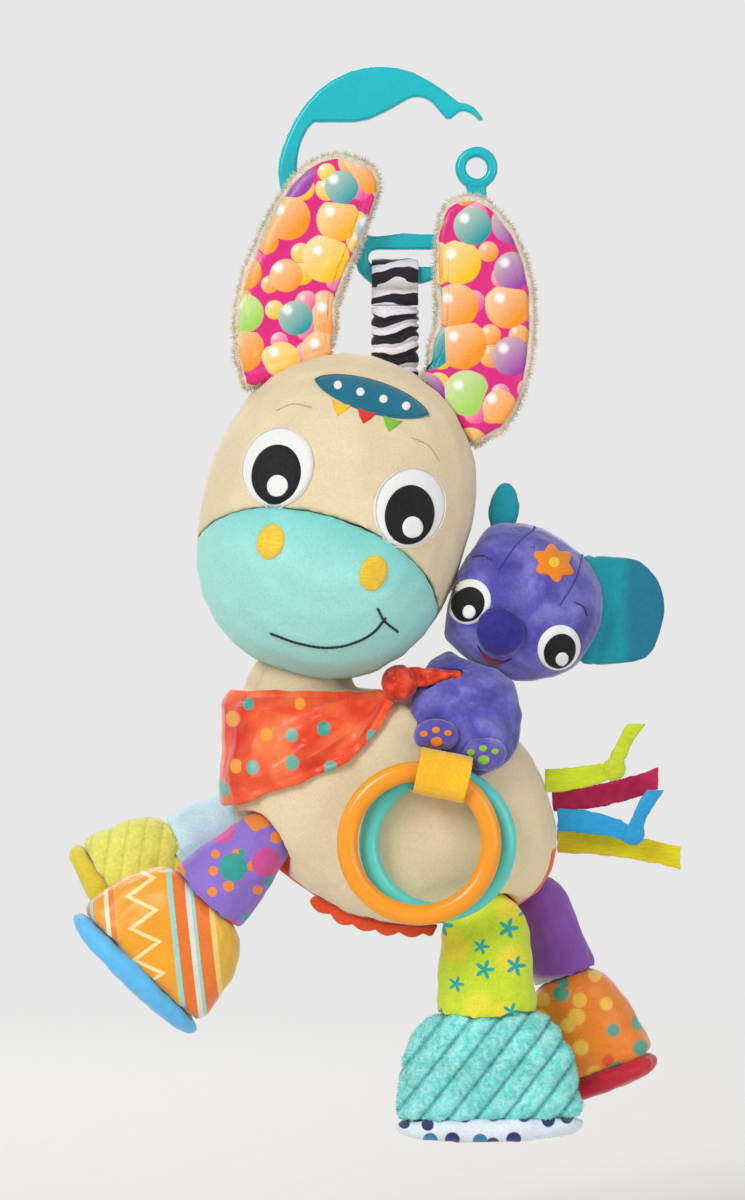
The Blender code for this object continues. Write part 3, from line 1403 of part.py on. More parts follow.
def assemble():
    root = frame("hook_seat", None)
    make_hook(root)
    swing = frame("strap_axis", root, x=STRAP_X, z=BAR_Z)
    make_strap_loop(swing)
    sleeve_top = -LOOP_RADIUS - STRAP_TAIL_LENGTH - SEAM_GAP
    make_sleeve(swing, sleeve_top)
    make_elastic(swing, sleeve_top)

    # The head hangs where its tilted crown meets the strap's lower end.
    sleeve_end = sleeve_top - SLEEVE_LENGTH
    blank = head_blank()
    above = (HEAD_LEFT_OF_STRAP, HEAD_AHEAD_OF_STRAP, HEAD_HEIGHT)
    crown = hit(moved(blank, turn=HEAD_TILT), above, (0.0, 0.0, -1.0))
    drop = crown[2] - STRAP_SEAT_DEPTH
    head = frame("head_slide", swing, x=-HEAD_LEFT_OF_STRAP, y=-HEAD_AHEAD_OF_STRAP, z=sleeve_end - drop)
    tilted = frame("head_tilt", head, turn=HEAD_TILT)
    skull, muzzle, blank = make_head(head, tilted, drop)

    ear_y = HEAD_AHEAD_OF_STRAP - EAR_AHEAD_OF_STRAP
    for name, x, rise, turn, shares in (
        ("left", LEFT_EAR_X, LEFT_EAR_RISE, LEFT_EAR_TURN, LEFT_EAR_SHARES),
        ("right", RIGHT_EAR_X, RIGHT_EAR_RISE, RIGHT_EAR_TURN, RIGHT_EAR_SHARES),
    ):
        axis = frame("ear_axis_" + name, head, x=x, y=ear_y, z=rise, turn=turn)
        make_ear(name, axis, shares)
        width = shares[0][0] * EAR_LENGTH + SOFT_GAP
        cut(skull, cutter("ear_relief_" + name, axis, ear_relief(width)))

    neck_x = BODY_RIGHT_OF_HEAD - NECK_LEFT_OF_BODY
    neck_z = NECK_ABOVE_BODY - BODY_BELOW_HEAD
    neck = frame("neck_axis", head, x=neck_x, y=HEAD_AHEAD_OF_STRAP, z=neck_z)
    knob = neck_ball(TURN_GAP)
    cut(skull, cutter("neck_socket", neck, knob))
    cut(muzzle, cutter("neck_socket_front", neck, knob))
    body = frame("body_centre", neck, x=NECK_LEFT_OF_BODY, z=-NECK_ABOVE_BODY)

    hips = {}
    for name, x, drop_hip, sign, angle in (
        ("near_front", -NEAR_FRONT_HIP_LEFT, NEAR_FRONT_HIP_DROP, -1, NEAR_FRONT_ANGLE),
        ("far_front", -FAR_FRONT_HIP_LEFT, FAR_FRONT_HIP_DROP, 1, FAR_FRONT_ANGLE),
        ("near_rear", NEAR_REAR_HIP_RIGHT, NEAR_REAR_HIP_DROP, -1, NEAR_REAR_ANGLE),
        ("far_rear", FAR_REAR_HIP_RIGHT, FAR_REAR_HIP_DROP, 1, FAR_REAR_ANGLE),
    ):
        hips[name] = frame("hip_" + name, body, x=x, y=sign * LEG_SPLAY, z=-drop_hip, turn=angle)
    sockets = []
    for name, leg_sizes, boot_sizes, looks in LEG_SET:
        make_leg(name, hips[name], leg_sizes, boot_sizes, looks)
        sockets += swing_room(name, hips[name], leg_sizes)
    skin = make_body(body, sockets)
    make_trim(body, skin, sockets)
    make_capsule(body)
    make_beads(frame("bead_axis", body))

    head_room = cutter("head_room", tilted, grown(blank, SOFT_GAP))
    make_kerchief(body)
    cloth_room = cutter("cloth_room", body, folded(dense_body(), 3 * SEAM_GAP + CLOTH_THICKNESS))
    make_knot(body, cloth_room, head_room)
    knot_rooms = [
        cutter("knot_room", body, knot_ball(SEAM_GAP)),
        cutter("knot_tail_room", body, knot_tail(SEAM_GAP)),
    ]

    # The rings lie against the belly, so their planes start where it bulges furthest.
    tab_x, tab_z = TAB_RIGHT_OF_BODY, TAB_ABOVE_BODY
    furthest = 0.0
    ring_steps = 24
    for diameter, tube, lean in (
        (RING_DIAMETER, RING_TUBE, RING_LEAN),
        (INNER_RING_DIAMETER, INNER_RING_TUBE, INNER_RING_LEAN),
    ):
        radius = (diameter - tube) / 2
        for step in range(ring_steps):
            turn = 2 * math.pi * step / ring_steps
            x = tab_x - radius * math.sin(lean) + radius * math.sin(turn)
            z = tab_z - radius * math.cos(lean) + radius * math.cos(turn)
            found = hit(skin, (x, -BODY_DEPTH, z), (0.0, 1.0, 0.0))
            if found.shape == (3,):
                furthest = min(furthest, found[1])
    behind = furthest
    for x_share in (-0.5, 0.0, 0.5):
        for height in (-TAB_FALL, 0.0, TAB_RISE):
            x = tab_x + TAB_WIDTH * x_share * math.cos(TAB_TILT) + height * math.sin(TAB_TILT)
            z = tab_z + height * math.cos(TAB_TILT) - TAB_WIDTH * x_share * math.sin(TAB_TILT)
            behind = min(behind, hit(skin, (x, -BODY_DEPTH, z), (0.0, 1.0, 0.0))[1])
    tab_back = behind - SEAM_GAP
    inner_y = min(furthest - SEAM_GAP, tab_back - TAB_RIBBON - RING_RUN_GAP) - INNER_RING_TUBE / 2
    outer_y = inner_y - (INNER_RING_TUBE + RING_TUBE) / 2 - RING_RUN_GAP
    tab_front = outer_y - RING_TUBE / 2 - TAB_SLACK - TAB_RIBBON
    tab = frame("tab", body, x=tab_x, z=tab_z, turn=TAB_TILT)
    make_tab(tab, tab_front, tab_back)
    outer_axis = frame("ring_axis_orange", body, x=tab_x, y=outer_y, z=tab_z)
    make_ring("ring_orange", outer_axis, RING_DIAMETER, RING_TUBE, RING_LEAN, ORANGE_PLASTIC)
    inner_axis = frame("ring_axis_turquoise", body, x=tab_x, y=inner_y, z=tab_z)
    sizes = (INNER_RING_DIAMETER, INNER_RING_TUBE, INNER_RING_LEAN)
    make_ring("ring_turquoise", inner_axis, *sizes, TURQUOISE_PLASTIC)

    koala_x = HEAD_WIDTH / 2 + KOALA_BESIDE_HEAD - BODY_RIGHT_OF_HEAD
    koala = frame("koala_centre", body, x=koala_x, y=-KOALA_AHEAD, z=KOALA_ABOVE_BODY)
    koala_tilt = frame("koala_tilt", koala, turn=KOALA_TILT)
    seat = frame("koala_seat", koala, x=-KOALA_BODY_LEFT, y=-KOALA_BODY_AHEAD, z=-KOALA_BODY_DROP)
    flaps = []
    koala_skin = koala_blank()
    for name, sign, angle in (
        ("left", -1, KOALA_LEFT_EAR_ANGLE),
        ("right", 1, KOALA_RIGHT_EAR_ANGLE),
    ):
        way = np.array((sign * math.cos(angle), 0.0, math.sin(angle)))
        side = hit(koala_skin, way * KOALA_HEAD_WIDTH, -way)
        turn = -sign * KOALA_EAR_TURN
        flaps.append(frame("koala_ear_axis_" + name, koala_tilt, x=side[0], z=side[2], turn=turn))
    tab_room = cutter("tab_room", tab, grown(tab_block(tab_front, tab_back), SEAM_GAP))
    skin_room = cutter("skin_room", body, grown(skin, SEAM_GAP))
    rooms = [skin_room, tab_room, head_room] + knot_rooms
    beside = seen_from(grown(blank, SOFT_GAP), tilted, koala_tilt)
    make_koala(seat, koala_tilt, flaps[0], flaps[1], rooms, beside)

    for name, rise, layer, length, knotted, bow, look in (
        ("lime", LIME_RISE, -1.5, LIME_LENGTH, True, LIME_BOW_SHARE, LIME_RIBBON),
        ("crimson", CRIMSON_RISE, 0.5, CRIMSON_LENGTH, False, CRIMSON_BOW_SHARE, CRIMSON_RIBBON),
        ("blue", BLUE_RISE, -0.5, BLUE_LENGTH, True, BLUE_BOW_SHARE, BLUE_RIBBON),
        ("yellow", YELLOW_RISE, 1.5, YELLOW_LENGTH, False, YELLOW_BOW_SHARE, YELLOW_RIBBON),
    ):
        y = layer * RIBBON_LAYER
        edge = hit(skin, (BODY_LENGTH, y, rise), (-1.0, 0.0, 0.0))
        root = edge[0] + SEAM_GAP + RIBBON_THICKNESS / 2
        axis = frame("ribbon_axis_" + name, body, x=root, y=y, z=rise)
        cut(make_ribbon(name, axis, length, knotted, bow, look), skin_room)


assemble()
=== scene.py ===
# %% [markdown]
# # A stuffed donkey that hangs from a pram
#
# The toy is a stuffed donkey with a small koala on its back. It hangs by a gathered strap from an
# open plastic hook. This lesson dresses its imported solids. Each soft solid gives way to a stuffed,
# woven or knitted piece of the same size, and the hard plastic gets its finish.

import json
import math

import bmesh
import bpy
import numpy as np
from mathutils import Matrix, Vector, noise
from mathutils.bvhtree import BVHTree
from mathutils.kdtree import KDTree


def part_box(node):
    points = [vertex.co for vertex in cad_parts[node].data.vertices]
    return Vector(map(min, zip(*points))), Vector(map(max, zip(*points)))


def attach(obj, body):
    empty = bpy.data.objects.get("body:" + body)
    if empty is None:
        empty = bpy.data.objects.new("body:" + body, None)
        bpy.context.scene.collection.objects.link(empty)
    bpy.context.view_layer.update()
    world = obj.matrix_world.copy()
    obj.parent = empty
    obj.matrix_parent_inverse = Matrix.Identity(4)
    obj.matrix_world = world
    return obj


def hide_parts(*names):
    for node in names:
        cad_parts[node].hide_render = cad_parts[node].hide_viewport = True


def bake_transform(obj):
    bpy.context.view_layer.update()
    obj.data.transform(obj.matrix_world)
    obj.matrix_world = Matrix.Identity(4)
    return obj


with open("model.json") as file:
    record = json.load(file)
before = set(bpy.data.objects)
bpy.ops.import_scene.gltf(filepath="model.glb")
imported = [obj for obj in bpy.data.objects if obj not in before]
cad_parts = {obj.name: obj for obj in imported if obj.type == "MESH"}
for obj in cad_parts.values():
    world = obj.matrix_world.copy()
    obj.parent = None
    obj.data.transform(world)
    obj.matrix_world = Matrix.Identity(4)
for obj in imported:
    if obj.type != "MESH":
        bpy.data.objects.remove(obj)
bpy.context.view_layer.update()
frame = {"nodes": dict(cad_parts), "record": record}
MM = 0.001

# %% [markdown]
# ## The view
#
# The toy was photographed from straight ahead with a long lens, so the camera stands far back and
# looks along +Y. It comes first, because everything else is judged through it.

# %% Camera
TOY_CENTRE = Vector((7 * MM, -8 * MM, -138 * MM))
CAMERA_DISTANCE = 1.60
VIEW_HEIGHT = 0.345
LENS_SENSOR = 24.0

camera_data = bpy.data.cameras.new("camera")
camera = bpy.data.objects.new("camera", camera_data)
bpy.context.scene.collection.objects.link(camera)
camera.location = TOY_CENTRE + Vector((0.0, -CAMERA_DISTANCE, 0.0))
camera.rotation_euler = (math.pi / 2, 0.0, 0.0)
camera_data.sensor_fit = "VERTICAL"
camera_data.sensor_height = LENS_SENSOR
camera_data.lens = LENS_SENSOR * CAMERA_DISTANCE / VIEW_HEIGHT
bpy.context.scene.camera = camera
print("lens", round(camera_data.lens, 1), "mm, seen height", VIEW_HEIGHT, "m")

# %% Places on the toy
HEAD_CENTRE = Vector((-3.5, -9.0, -113.93)) * MM
HEAD_TILT = math.radians(17)
KOALA_CENTRE = Vector((49.1, -8.0, -138.53)) * MM
KOALA_TILT = math.radians(27)
HEAD_PLACE = Matrix.Translation(HEAD_CENTRE) @ Matrix.Rotation(HEAD_TILT, 4, "Y")
KOALA_PLACE = Matrix.Translation(KOALA_CENTRE) @ Matrix.Rotation(KOALA_TILT, 4, "Y")
WORLD_PLACE = Matrix.Identity(4)
print("head tilted", round(math.degrees(HEAD_TILT)), "degrees, koala", round(math.degrees(KOALA_TILT)))

# %% [markdown]
# ## Small helpers
#
# One function turns a written sRGB colour into the linear one that a shader wants. One adds a
# node of any kind, with its settings and its links. Every material and every geometry tree below
# is written with them, so a reader needs to learn only these. Node trees could be drawn by hand
# in the editor, but written ones can share their sizes with the meshes.


# %% Colour and nodes
def linear(hex_colour):
    """Linear colour from an sRGB hex string, by the curve of the sRGB standard."""
    channels = [int(hex_colour[i : i + 2], 16) / 255 for i in (1, 3, 5)]
    return [c / 12.92 if c <= 0.04045 else ((c + 0.055) / 1.055) ** 2.4 for c in channels] + [1.0]


def feed(tree, socket, value):
    """Link a result to an input, or set the input; a node as a value means its open output."""
    if isinstance(value, bpy.types.Node):
        value = next(output for output in value.outputs if output.enabled)
    if isinstance(value, bpy.types.NodeSocket):
        tree.links.new(value, socket)
    else:
        socket.default_value = linear(value) if isinstance(value, str) and value[0] == "#" else value


def add(tree, kind, *values, **named):
    """Add a node. Values fill its open inputs in order; a name in small letters is a setting."""
    node = tree.nodes.new(kind)
    for name, value in named.items():
        if name.islower():
            setattr(node, name, value)
    for socket, value in zip([socket for socket in node.inputs if socket.enabled], values):
        feed(tree, socket, value)
    for name, value in named.items():
        if not name.islower():
            feed(tree, node.inputs[name.replace("_", " ")], value)
    return node


def through(ramp, stops, mode="LINEAR"):
    """Give a colour ramp its (place, hex colour) stops."""
    ramp.color_ramp.interpolation = mode
    places = ramp.color_ramp.elements
    while len(places) < len(stops):
        places.new(0.5)
    for element, (place, colour) in zip(places, stops):
        element.position = place
        element.color = linear(colour)
    return ramp


# %% Node kinds, and a place on the toy
MATH, VECTOR, SPLIT = "ShaderNodeMath", "ShaderNodeVectorMath", "ShaderNodeSeparateXYZ"
SPAN, NOISE = "ShaderNodeMapRange", "ShaderNodeTexNoise"
MIX, RAMP = "ShaderNodeMix", "ShaderNodeValToRGB"
NOISE_SPAN = (0.3, 0.7)


def where(tree, turn=0.0, centre=(0.0, 0.0, 0.0), scale=(1.0, 1.0, 1.0)):
    """Object coordinates about a centre, turned in the XZ plane; their unit is a metre."""
    source = add(tree, "ShaderNodeTexCoord").outputs["Object"]
    moved = add(tree, VECTOR, source, centre, operation="SUBTRACT")
    return add(tree, "ShaderNodeMapping", moved, Rotation=(0.0, turn, 0.0), Scale=scale)


print("most noise lies between", *NOISE_SPAN)

# %% [markdown]
# ## Cloth
#
# A pram toy mixes short-pile velour, plush, satin, felt and ribbon. What tells them apart is the
# pile. Velour is matt and slightly blotchy where a hand has brushed it. Satin is smooth with a
# sharp sheen. Felt is dead matt. So one function makes a cloth from its colours, its pile size
# and its gloss. Two noises shade it: a wide one for brushed and handled places, and one at the
# size of the pile, which also drives the bump and the roughness.


# %% A cloth material
def cloth(
    name, colour, pattern=None, pile=0.5, depth=0.15, rough=0.9, sheen=0.3, blotch=0.12, brushed=14.0,
    grain=(1.0, 1.0, 1.0),
):
    """Cloth with a pile of the given size and depth, brushed in patches; sizes in mm."""
    made = bpy.data.materials.new(name)
    made.use_nodes = True
    tree = made.node_tree
    base = pattern(tree, colour) if pattern else colour
    place, threads = where(tree), where(tree, scale=grain)
    wide = add(tree, NOISE, Vector=place, Scale=1 / (brushed * MM), Detail=3.0, Distortion=0.6)
    fine = add(tree, NOISE, Vector=threads, Scale=1 / (2 * pile * MM), Detail=2.0)
    worn = add(tree, SPAN, wide, *NOISE_SPAN, 1.0 - blotch, 1.0 + blotch / 3)
    lit = add(tree, SPAN, fine, *NOISE_SPAN, 1.0 - blotch, 1.0 + blotch / 2)
    shade = add(tree, MATH, worn, lit, operation="MULTIPLY")
    finish = {
        "Base Color": add(tree, "ShaderNodeHueSaturation", Color=base, Value=shade),
        "Roughness": add(tree, SPAN, fine, *NOISE_SPAN, rough - 0.06, min(1.0, rough + 0.08)),
        "Normal": add(tree, "ShaderNodeBump", Height=fine, Distance=depth * MM, Strength=0.8),
        "Sheen Weight": sheen,
        "Sheen Roughness": 0.5,
        "Specular IOR Level": 0.3,
    }
    for label, value in finish.items():
        feed(tree, tree.nodes["Principled BSDF"].inputs[label], value)
    return made


print("cloth ready")

# %% [markdown]
# ## Prints
#
# The printed cloths carry plain patterns, each worked out from a real size in millimetres. An
# image could carry them too, but a worked-out print stays sharp at any distance. Spots and stars
# grow in the cells of a Voronoi texture, whose cell centre also places a painted highlight and a
# painted lighter side that make the ear satin's spots look like balls.


# %% Spots and stars
def spots(pitch, radius, palette, seed=0.0, jitter=0.75, soft=0.15, points=0, shine=0.0, under=None):
    """Round spots, or stars with a number of points, in mixed colours; shine paints a highlight and a lighter
    upper left side on each spot; sizes in mm.
    """
    reach = radius * MM

    def draw(tree, ground):
        ground = under(tree, ground) if under else ground
        seen = add(tree, SPLIT, where(tree, centre=(seed, 0.0, seed)))
        place = add(tree, "ShaderNodeCombineXYZ", seen.outputs["X"], seen.outputs["Z"])
        cells = add(
            tree, "ShaderNodeTexVoronoi", voronoi_dimensions="2D", Vector=place, Scale=1 / (pitch * MM),
            Randomness=jitter,
        )
        away = add(tree, VECTOR, place, cells.outputs["Position"], operation="SUBTRACT")
        distance = add(tree, VECTOR, away, operation="LENGTH")
        side = add(tree, SPLIT, away)
        pick = add(tree, "ShaderNodeSeparateColor", cells.outputs["Color"])
        size = add(tree, SPAN, pick.outputs["Green"], 0.0, 1.0, 0.75 * reach, 1.15 * reach)
        if points:
            turn = add(tree, MATH, side.outputs["Y"], side.outputs["X"], operation="ARCTAN2")
            turns = add(tree, MATH, turn, float(points), operation="MULTIPLY")
            arms = add(tree, SPAN, add(tree, MATH, turns, operation="COSINE"), -1.0, 1.0, 0.35, 1.2)
            size = add(tree, MATH, size, arms, operation="MULTIPLY")
        stops = [(i / len(palette), colour) for i, colour in enumerate(palette)]
        print_and_highlight = through(add(tree, RAMP, pick.outputs["Red"]), stops, "CONSTANT")
        # Painted light: with shine, each spot is painted lighter towards its upper left and gets a painted
        # highlight there.
        if shine:
            across = add(tree, MATH, side.outputs["Y"], side.outputs["X"], operation="SUBTRACT")
            lit = add(tree, SPAN, across, -reach, 1.4 * reach, 0.0, 0.55)
            print_and_highlight = add(tree, MIX, lit, print_and_highlight, "#FFF6D8", data_type="RGBA")
            moved = add(tree, VECTOR, away, (0.36 * reach, -0.36 * reach, 0.0), operation="ADD")
            glint = add(tree, VECTOR, moved, operation="LENGTH")
            near = add(tree, SPAN, glint, 0.12 * reach, 0.3 * reach, shine, 0.0)
            print_and_highlight = add(tree, MIX, near, print_and_highlight, "#FFFFFF", data_type="RGBA")
        share = add(tree, MATH, distance, size, operation="DIVIDE")
        cover = add(tree, SPAN, share, 1.0 - soft, 1.0, 1.0, 0.0)
        return add(tree, MIX, cover, ground, print_and_highlight, data_type="RGBA")

    return draw


print("a spot is a cell of a Voronoi texture")


# %% Fades and ribs
def fade(low, high, low_colour, high_colour, turn=0.0, centre=(0.0, 0.0, 0.0), wander=4.0):
    """Colour that changes with height, along an edge that wanders; sizes in mm."""

    def draw(tree, ground):
        seen = add(tree, SPLIT, where(tree, turn, centre))
        drift = add(tree, NOISE, Vector=where(tree), Scale=90.0)
        sway = add(tree, SPAN, drift, *NOISE_SPAN, -wander / 2 * MM, wander / 2 * MM)
        height = add(tree, MATH, seen.outputs["Z"], sway, operation="ADD")
        share = add(tree, SPAN, height, low * MM, high * MM)
        return through(add(tree, RAMP, share), [(0.0, low_colour), (1.0, high_colour)])

    return draw


def ribs(pitch, lean, groove_shade_colour, under=None):
    """Painted shade: darker lines in the grooves between ribs; pitch in mm, lean in radians from upright."""

    def draw(tree, ground):
        ground = under(tree, ground) if under else ground
        seen = add(tree, SPLIT, where(tree))
        right = add(tree, MATH, seen.outputs["X"], math.cos(lean), operation="MULTIPLY")
        down = add(tree, MATH, seen.outputs["Z"], math.sin(lean), operation="MULTIPLY")
        along = add(tree, MATH, right, down, operation="SUBTRACT")
        turns = add(tree, MATH, along, math.pi / (pitch * MM), operation="MULTIPLY")
        rib = add(tree, MATH, add(tree, MATH, turns, operation="SINE"), operation="ABSOLUTE")
        groove = add(tree, SPAN, rib, 0.05, 0.45, 0.8, 0.0)
        return add(tree, MIX, groove, ground, groove_shade_colour, data_type="RGBA")

    return draw


print("a rib is half a wave of a sine")


# %% Boot stripes and soft patches
def boot_bands(centre, width, stripes, triangle, line_colour, fill_colour):
    """Upright stripes with a band of triangles between them; sizes in mm."""
    lean = math.radians(6)

    def draw(tree, ground):
        seen = add(tree, SPLIT, where(tree, lean, centre))
        across = add(tree, SPAN, seen.outputs["X"], -width / 2 * MM, width / 2 * MM)
        striped = through(add(tree, RAMP, across), stripes, "CONSTANT")
        count = add(tree, MATH, seen.outputs["Z"], triangle * MM, operation="DIVIDE")
        fold = add(tree, MATH, count, 0.5, operation="PINGPONG")
        swing = add(tree, MATH, fold, 0.25, operation="SUBTRACT")
        edge = add(tree, MATH, swing, 1.7 * triangle * MM, operation="MULTIPLY")
        gap = add(tree, MATH, seen.outputs["X"], edge, operation="SUBTRACT")
        off = add(tree, MATH, gap, operation="ABSOLUTE")
        side = add(tree, MATH, across, 0.5, operation="SUBTRACT")
        inside = add(tree, SPAN, add(tree, MATH, side, operation="ABSOLUTE"), 0.155, 0.165, 1.0, 0.0)
        clear = add(tree, SPAN, off, 0.9 * MM, 1.1 * MM, 0.0, 1.0)
        filled = add(tree, MATH, inside, clear, operation="MULTIPLY")
        drawn = add(tree, MIX, inside, striped, line_colour, data_type="RGBA")
        return add(tree, MIX, filled, drawn, fill_colour, data_type="RGBA")

    return draw


def crushed(size, palette):
    """Soft patches between the colours: pressed pile on velour and plush, painted sheen and painted shade on
    the kerchief's satin; size in mm.
    """
    stops = [(0.36 + 0.28 * i / (len(palette) - 1), colour) for i, colour in enumerate(palette)]

    def draw(tree, ground):
        patch = add(tree, NOISE, Vector=where(tree), Scale=1 / (size * MM), Detail=3.0, Distortion=0.5)
        return through(add(tree, RAMP, patch), stops)

    return draw


print("prints ready")

# %% [markdown]
# ## The cloths of this toy
#
# Each colour was read off the photo and each motif's size worked out from it. What a kind
# of cloth has in common is named once. Velour has a short dense pile, which gives a soft matt
# look. Felt is pressed fibre without a nap, so it looks dead matt and cut. Cotton is a fine flat
# weave with little gloss. Satin is smoother still, and its gloss shows every crease.

# %% Velour, plush and felt
VELOUR = {"pile": 0.35, "depth": 0.14}
FELT = {"pile": 0.4, "depth": 0.1}
VELOUR_CREAM = cloth("cream velour", "#EAD7B2", **VELOUR, blotch=0.07)
muzzle_fade = fade(-17.0, 4.0, "#A3E6DD", "#6FD0C9", -HEAD_TILT, HEAD_CENTRE)
VELOUR_MINT = cloth("mint velour", "#9DE3DA", muzzle_fade, **VELOUR, blotch=0.08)
rump_edge = fade(-209.6, -209.0, "#EB5228", "#EAD8B8", wander=1.0)
GUSSET_CLOTH = cloth("cream velour with a red belly", "#EAD8B8", rump_edge, **VELOUR, blotch=0.07)
# Crushed velour has its pile pressed in patches, so its purple turns light and dark.
pressed_purple = crushed(11.0, ("#4A41A2", "#5D55B6", "#7D76CC"))
VELOUR_PURPLE = cloth(
    "purple crushed velour", "#5A51B0", pressed_purple, depth=0.25, blotch=0.2, brushed=6.0, sheen=0.6
)
pressed_dark = crushed(6.0, ("#261D6E", "#382C92"))
VELOUR_NOSE = cloth("dark purple velour", "#3A2E8F", pressed_dark, pile=0.4, blotch=0.2)
# Plush has the longest pile: soft and a little dusty at its edges, with painted shade between its ribs.
PLUSH_CREAM = cloth("cream plush", "#E6D8C2", pile=0.6, depth=0.4, blotch=0.15, sheen=0.5)
FINE_RIB, FINE_LEAN = 5.0, math.radians(8)
WALE_PITCH, WALE_LEAN = 6.2, math.radians(38)
# Painted shade darkens the grooves between the yellow plush's ribs and between the cord's wales.
yellow_ribs = ribs(FINE_RIB, FINE_LEAN, "#DCD850")
PLUSH_YELLOW = cloth("yellow plush", "#F1EE70", yellow_ribs, depth=0.3, sheen=0.5)
pale_turquoise = crushed(3.0, ("#77E0D8", "#92F0E9", "#AAF5EF"))
turquoise_ribs = ribs(WALE_PITCH, WALE_LEAN, "#4FB9B4", pale_turquoise)
CORD_TURQUOISE = cloth(
    "turquoise cord plush", "#86E9E1", turquoise_ribs, pile=0.6, depth=0.5, blotch=0.15, sheen=0.6
)
ORANGE_CORD = cloth("orange red cord", "#EB5228", pile=0.4)
FELT_WHITE = cloth("white felt", "#EEEEEC", **FELT, blotch=0.03, sheen=0.1)
FELT_BLACK = cloth("black felt", "#0B0A0D", **FELT, blotch=0.3, sheen=0.05, rough=0.7)
# The teal ear felt is painted darker to the right of a fold, as painted shade beyond the fold.
EAR_FOLD = (79.6 * MM, 0.0, -141.0 * MM)
ear_fold_shade = fade(-1.8, 1.8, "#1797A5", "#1A7793", turn=-math.pi / 2, centre=EAR_FOLD, wander=1.5)
FELT_TEAL = cloth("teal felt", "#1893A3", ear_fold_shade, pile=0.6, depth=0.2)
FELTS = {}
for shade, colour in (
    ("deep teal", "#14708A"), ("orange", "#F28A1E"), ("red", "#E23A2E"), ("yellow", "#F6C531"),
    ("green", "#8CC63F"), ("dark red", "#7E1B33"),
):
    FELTS[shade] = cloth(shade + " felt", colour, **FELT, blotch=0.1)
print("plain cloths ready")

# %% Printed cotton and satin
COTTON = {"pile": 0.3, "depth": 0.05, "rough": 0.7}
SATIN = {"pile": 0.3, "depth": 0.04}
THIN_SATIN = {"pile": 0.25, "depth": 0.04, "rough": 0.3, "blotch": 0.06}
BALL_COLOURS = ("#F9971E", "#FBC31B", "#29A8DC", "#F9971E", "#A5D65A", "#9B2FA5", "#FBB01B", "#0A9AA0")
# The ear satin's spots get painted light on their upper left and a painted highlight, so they look like
# balls.
small_balls = spots(8.0, 3.4, BALL_COLOURS[:2] + ("#EE5A9C",), jitter=0.6, soft=0.1, shine=0.5)
ear_balls = spots(12.6, 6.4, BALL_COLOURS, 0.043, jitter=0.45, soft=0.06, shine=0.85, under=small_balls)
SATIN_BALLS = cloth(
    "magenta satin with balls", "#E0287F", ear_balls, pile=0.3, depth=0.02, rough=0.3, sheen=0.1, blotch=0.05
)
# The kerchief's satin gets painted sheen, lighter orange, and painted shade, deeper red, in soft patches at
# random.
scarf_sheen_and_shade = crushed(15.0, ("#E2330F", "#F4552A", "#FB7E45"))
DROP_COLOURS = ("#3FA79B", "#6DB0A0", "#FBA23A")
scarf_drops = spots(10.5, 2.9, DROP_COLOURS, points=1, jitter=0.9, soft=0.2, under=scarf_sheen_and_shade)
SATIN_ORANGE = cloth("orange red satin", "#F4552A", scarf_drops, **THIN_SATIN, sheen=0.2, brushed=7.0)
# The knot is the kerchief's satin painted darker, as painted shade in its gathers, with patches of deeper
# painted shade.
knot_shade = crushed(3.0, ("#B81E06", "#E2330F", "#F4552A"))
SATIN_KNOT = cloth("orange red satin with painted shade", "#E2330F", knot_shade, **THIN_SATIN)
lilac_dots = spots(6.0, 1.7, ("#2F9E97", "#F28C3A"), 0.017, jitter=1.0)
BLOB_COLOURS = ("#F28C3A", "#D64FA0", "#2F9E97")
lilac_blobs = spots(12.0, 4.2, BLOB_COLOURS, 0.031, jitter=0.9, soft=0.1, under=lilac_dots)
LILAC_PRINT = cloth("lilac print cotton", "#8F6FCE", lilac_blobs, pile=0.3, depth=0.06, rough=0.65)
PALE_BLUE = cloth("pale blue cotton", "#CFEFFA", **COTTON)
white_hem = fade(-249.0, -246.0, "#E9DFF2", "#8A4FB0", wander=1.0)
PURPLE_PRINT = cloth("purple print cotton", "#8A4FB0", white_hem, **COTTON)
yellow_patches = spots(15.0, 6.0, ("#F6E436", "#F0E93E"), 0.027, soft=0.5)
small_stars = spots(10.5, 2.5, ("#27AFA2",), 0.013, points=5, jitter=0.8, under=yellow_patches)
LIME_STARS = cloth("lime cotton with stars", "#CFE62C", small_stars, pile=0.3, depth=0.05, rough=0.65)
BOOT_STRIPES = (
    (0.0, "#F3A43A"), (0.07, "#FBE9C4"), (0.10, "#EE7A2A"), (0.18, "#9EDAD2"), (0.20, "#F3A43A"),
    (0.27, "#FBE9C4"), (0.30, "#F08A2E"), (0.66, "#9EDAD2"), (0.69, "#EE7A2A"), (0.76, "#E9E2D8"),
    (0.79, "#9EDAD2"), (0.81, "#EE7A2A"), (0.89, "#FBD27A"), (0.92, "#E8B63C"),
)
BOOT_CENTRE = Vector((-57.0, 0.0, -240.0)) * MM
boot_print = boot_bands(BOOT_CENTRE, 48.0, BOOT_STRIPES, 9.0, "#F7E7A6", "#F6A628")
BOOT_ZIGZAG = cloth("striped boot satin", "#F6A03C", boot_print, **SATIN, rough=0.32, blotch=0.07)
AMBER_COLOURS = ("#F9C04A", "#E2541F", "#4FA08A", "#F9C04A")
amber_dots = spots(7.5, 2.6, AMBER_COLOURS, 0.021, soft=0.3)
AMBER_PRINT = cloth(
    "amber print satin", "#EE8420", amber_dots, pile=0.3, depth=0.05, rough=0.28, blotch=0.07, brushed=6.0
)
SATIN_BLUE = cloth("light blue satin", "#5DBBF2", **SATIN, rough=0.45, blotch=0.08)
navy_marks = spots(7.0, 2.2, ("#22326A", "#22326A", "#2C7FA8"), 0.005, jitter=0.9)
SOLE_WHITE = cloth("white sole cotton", "#E4EEF6", navy_marks, **COTTON)
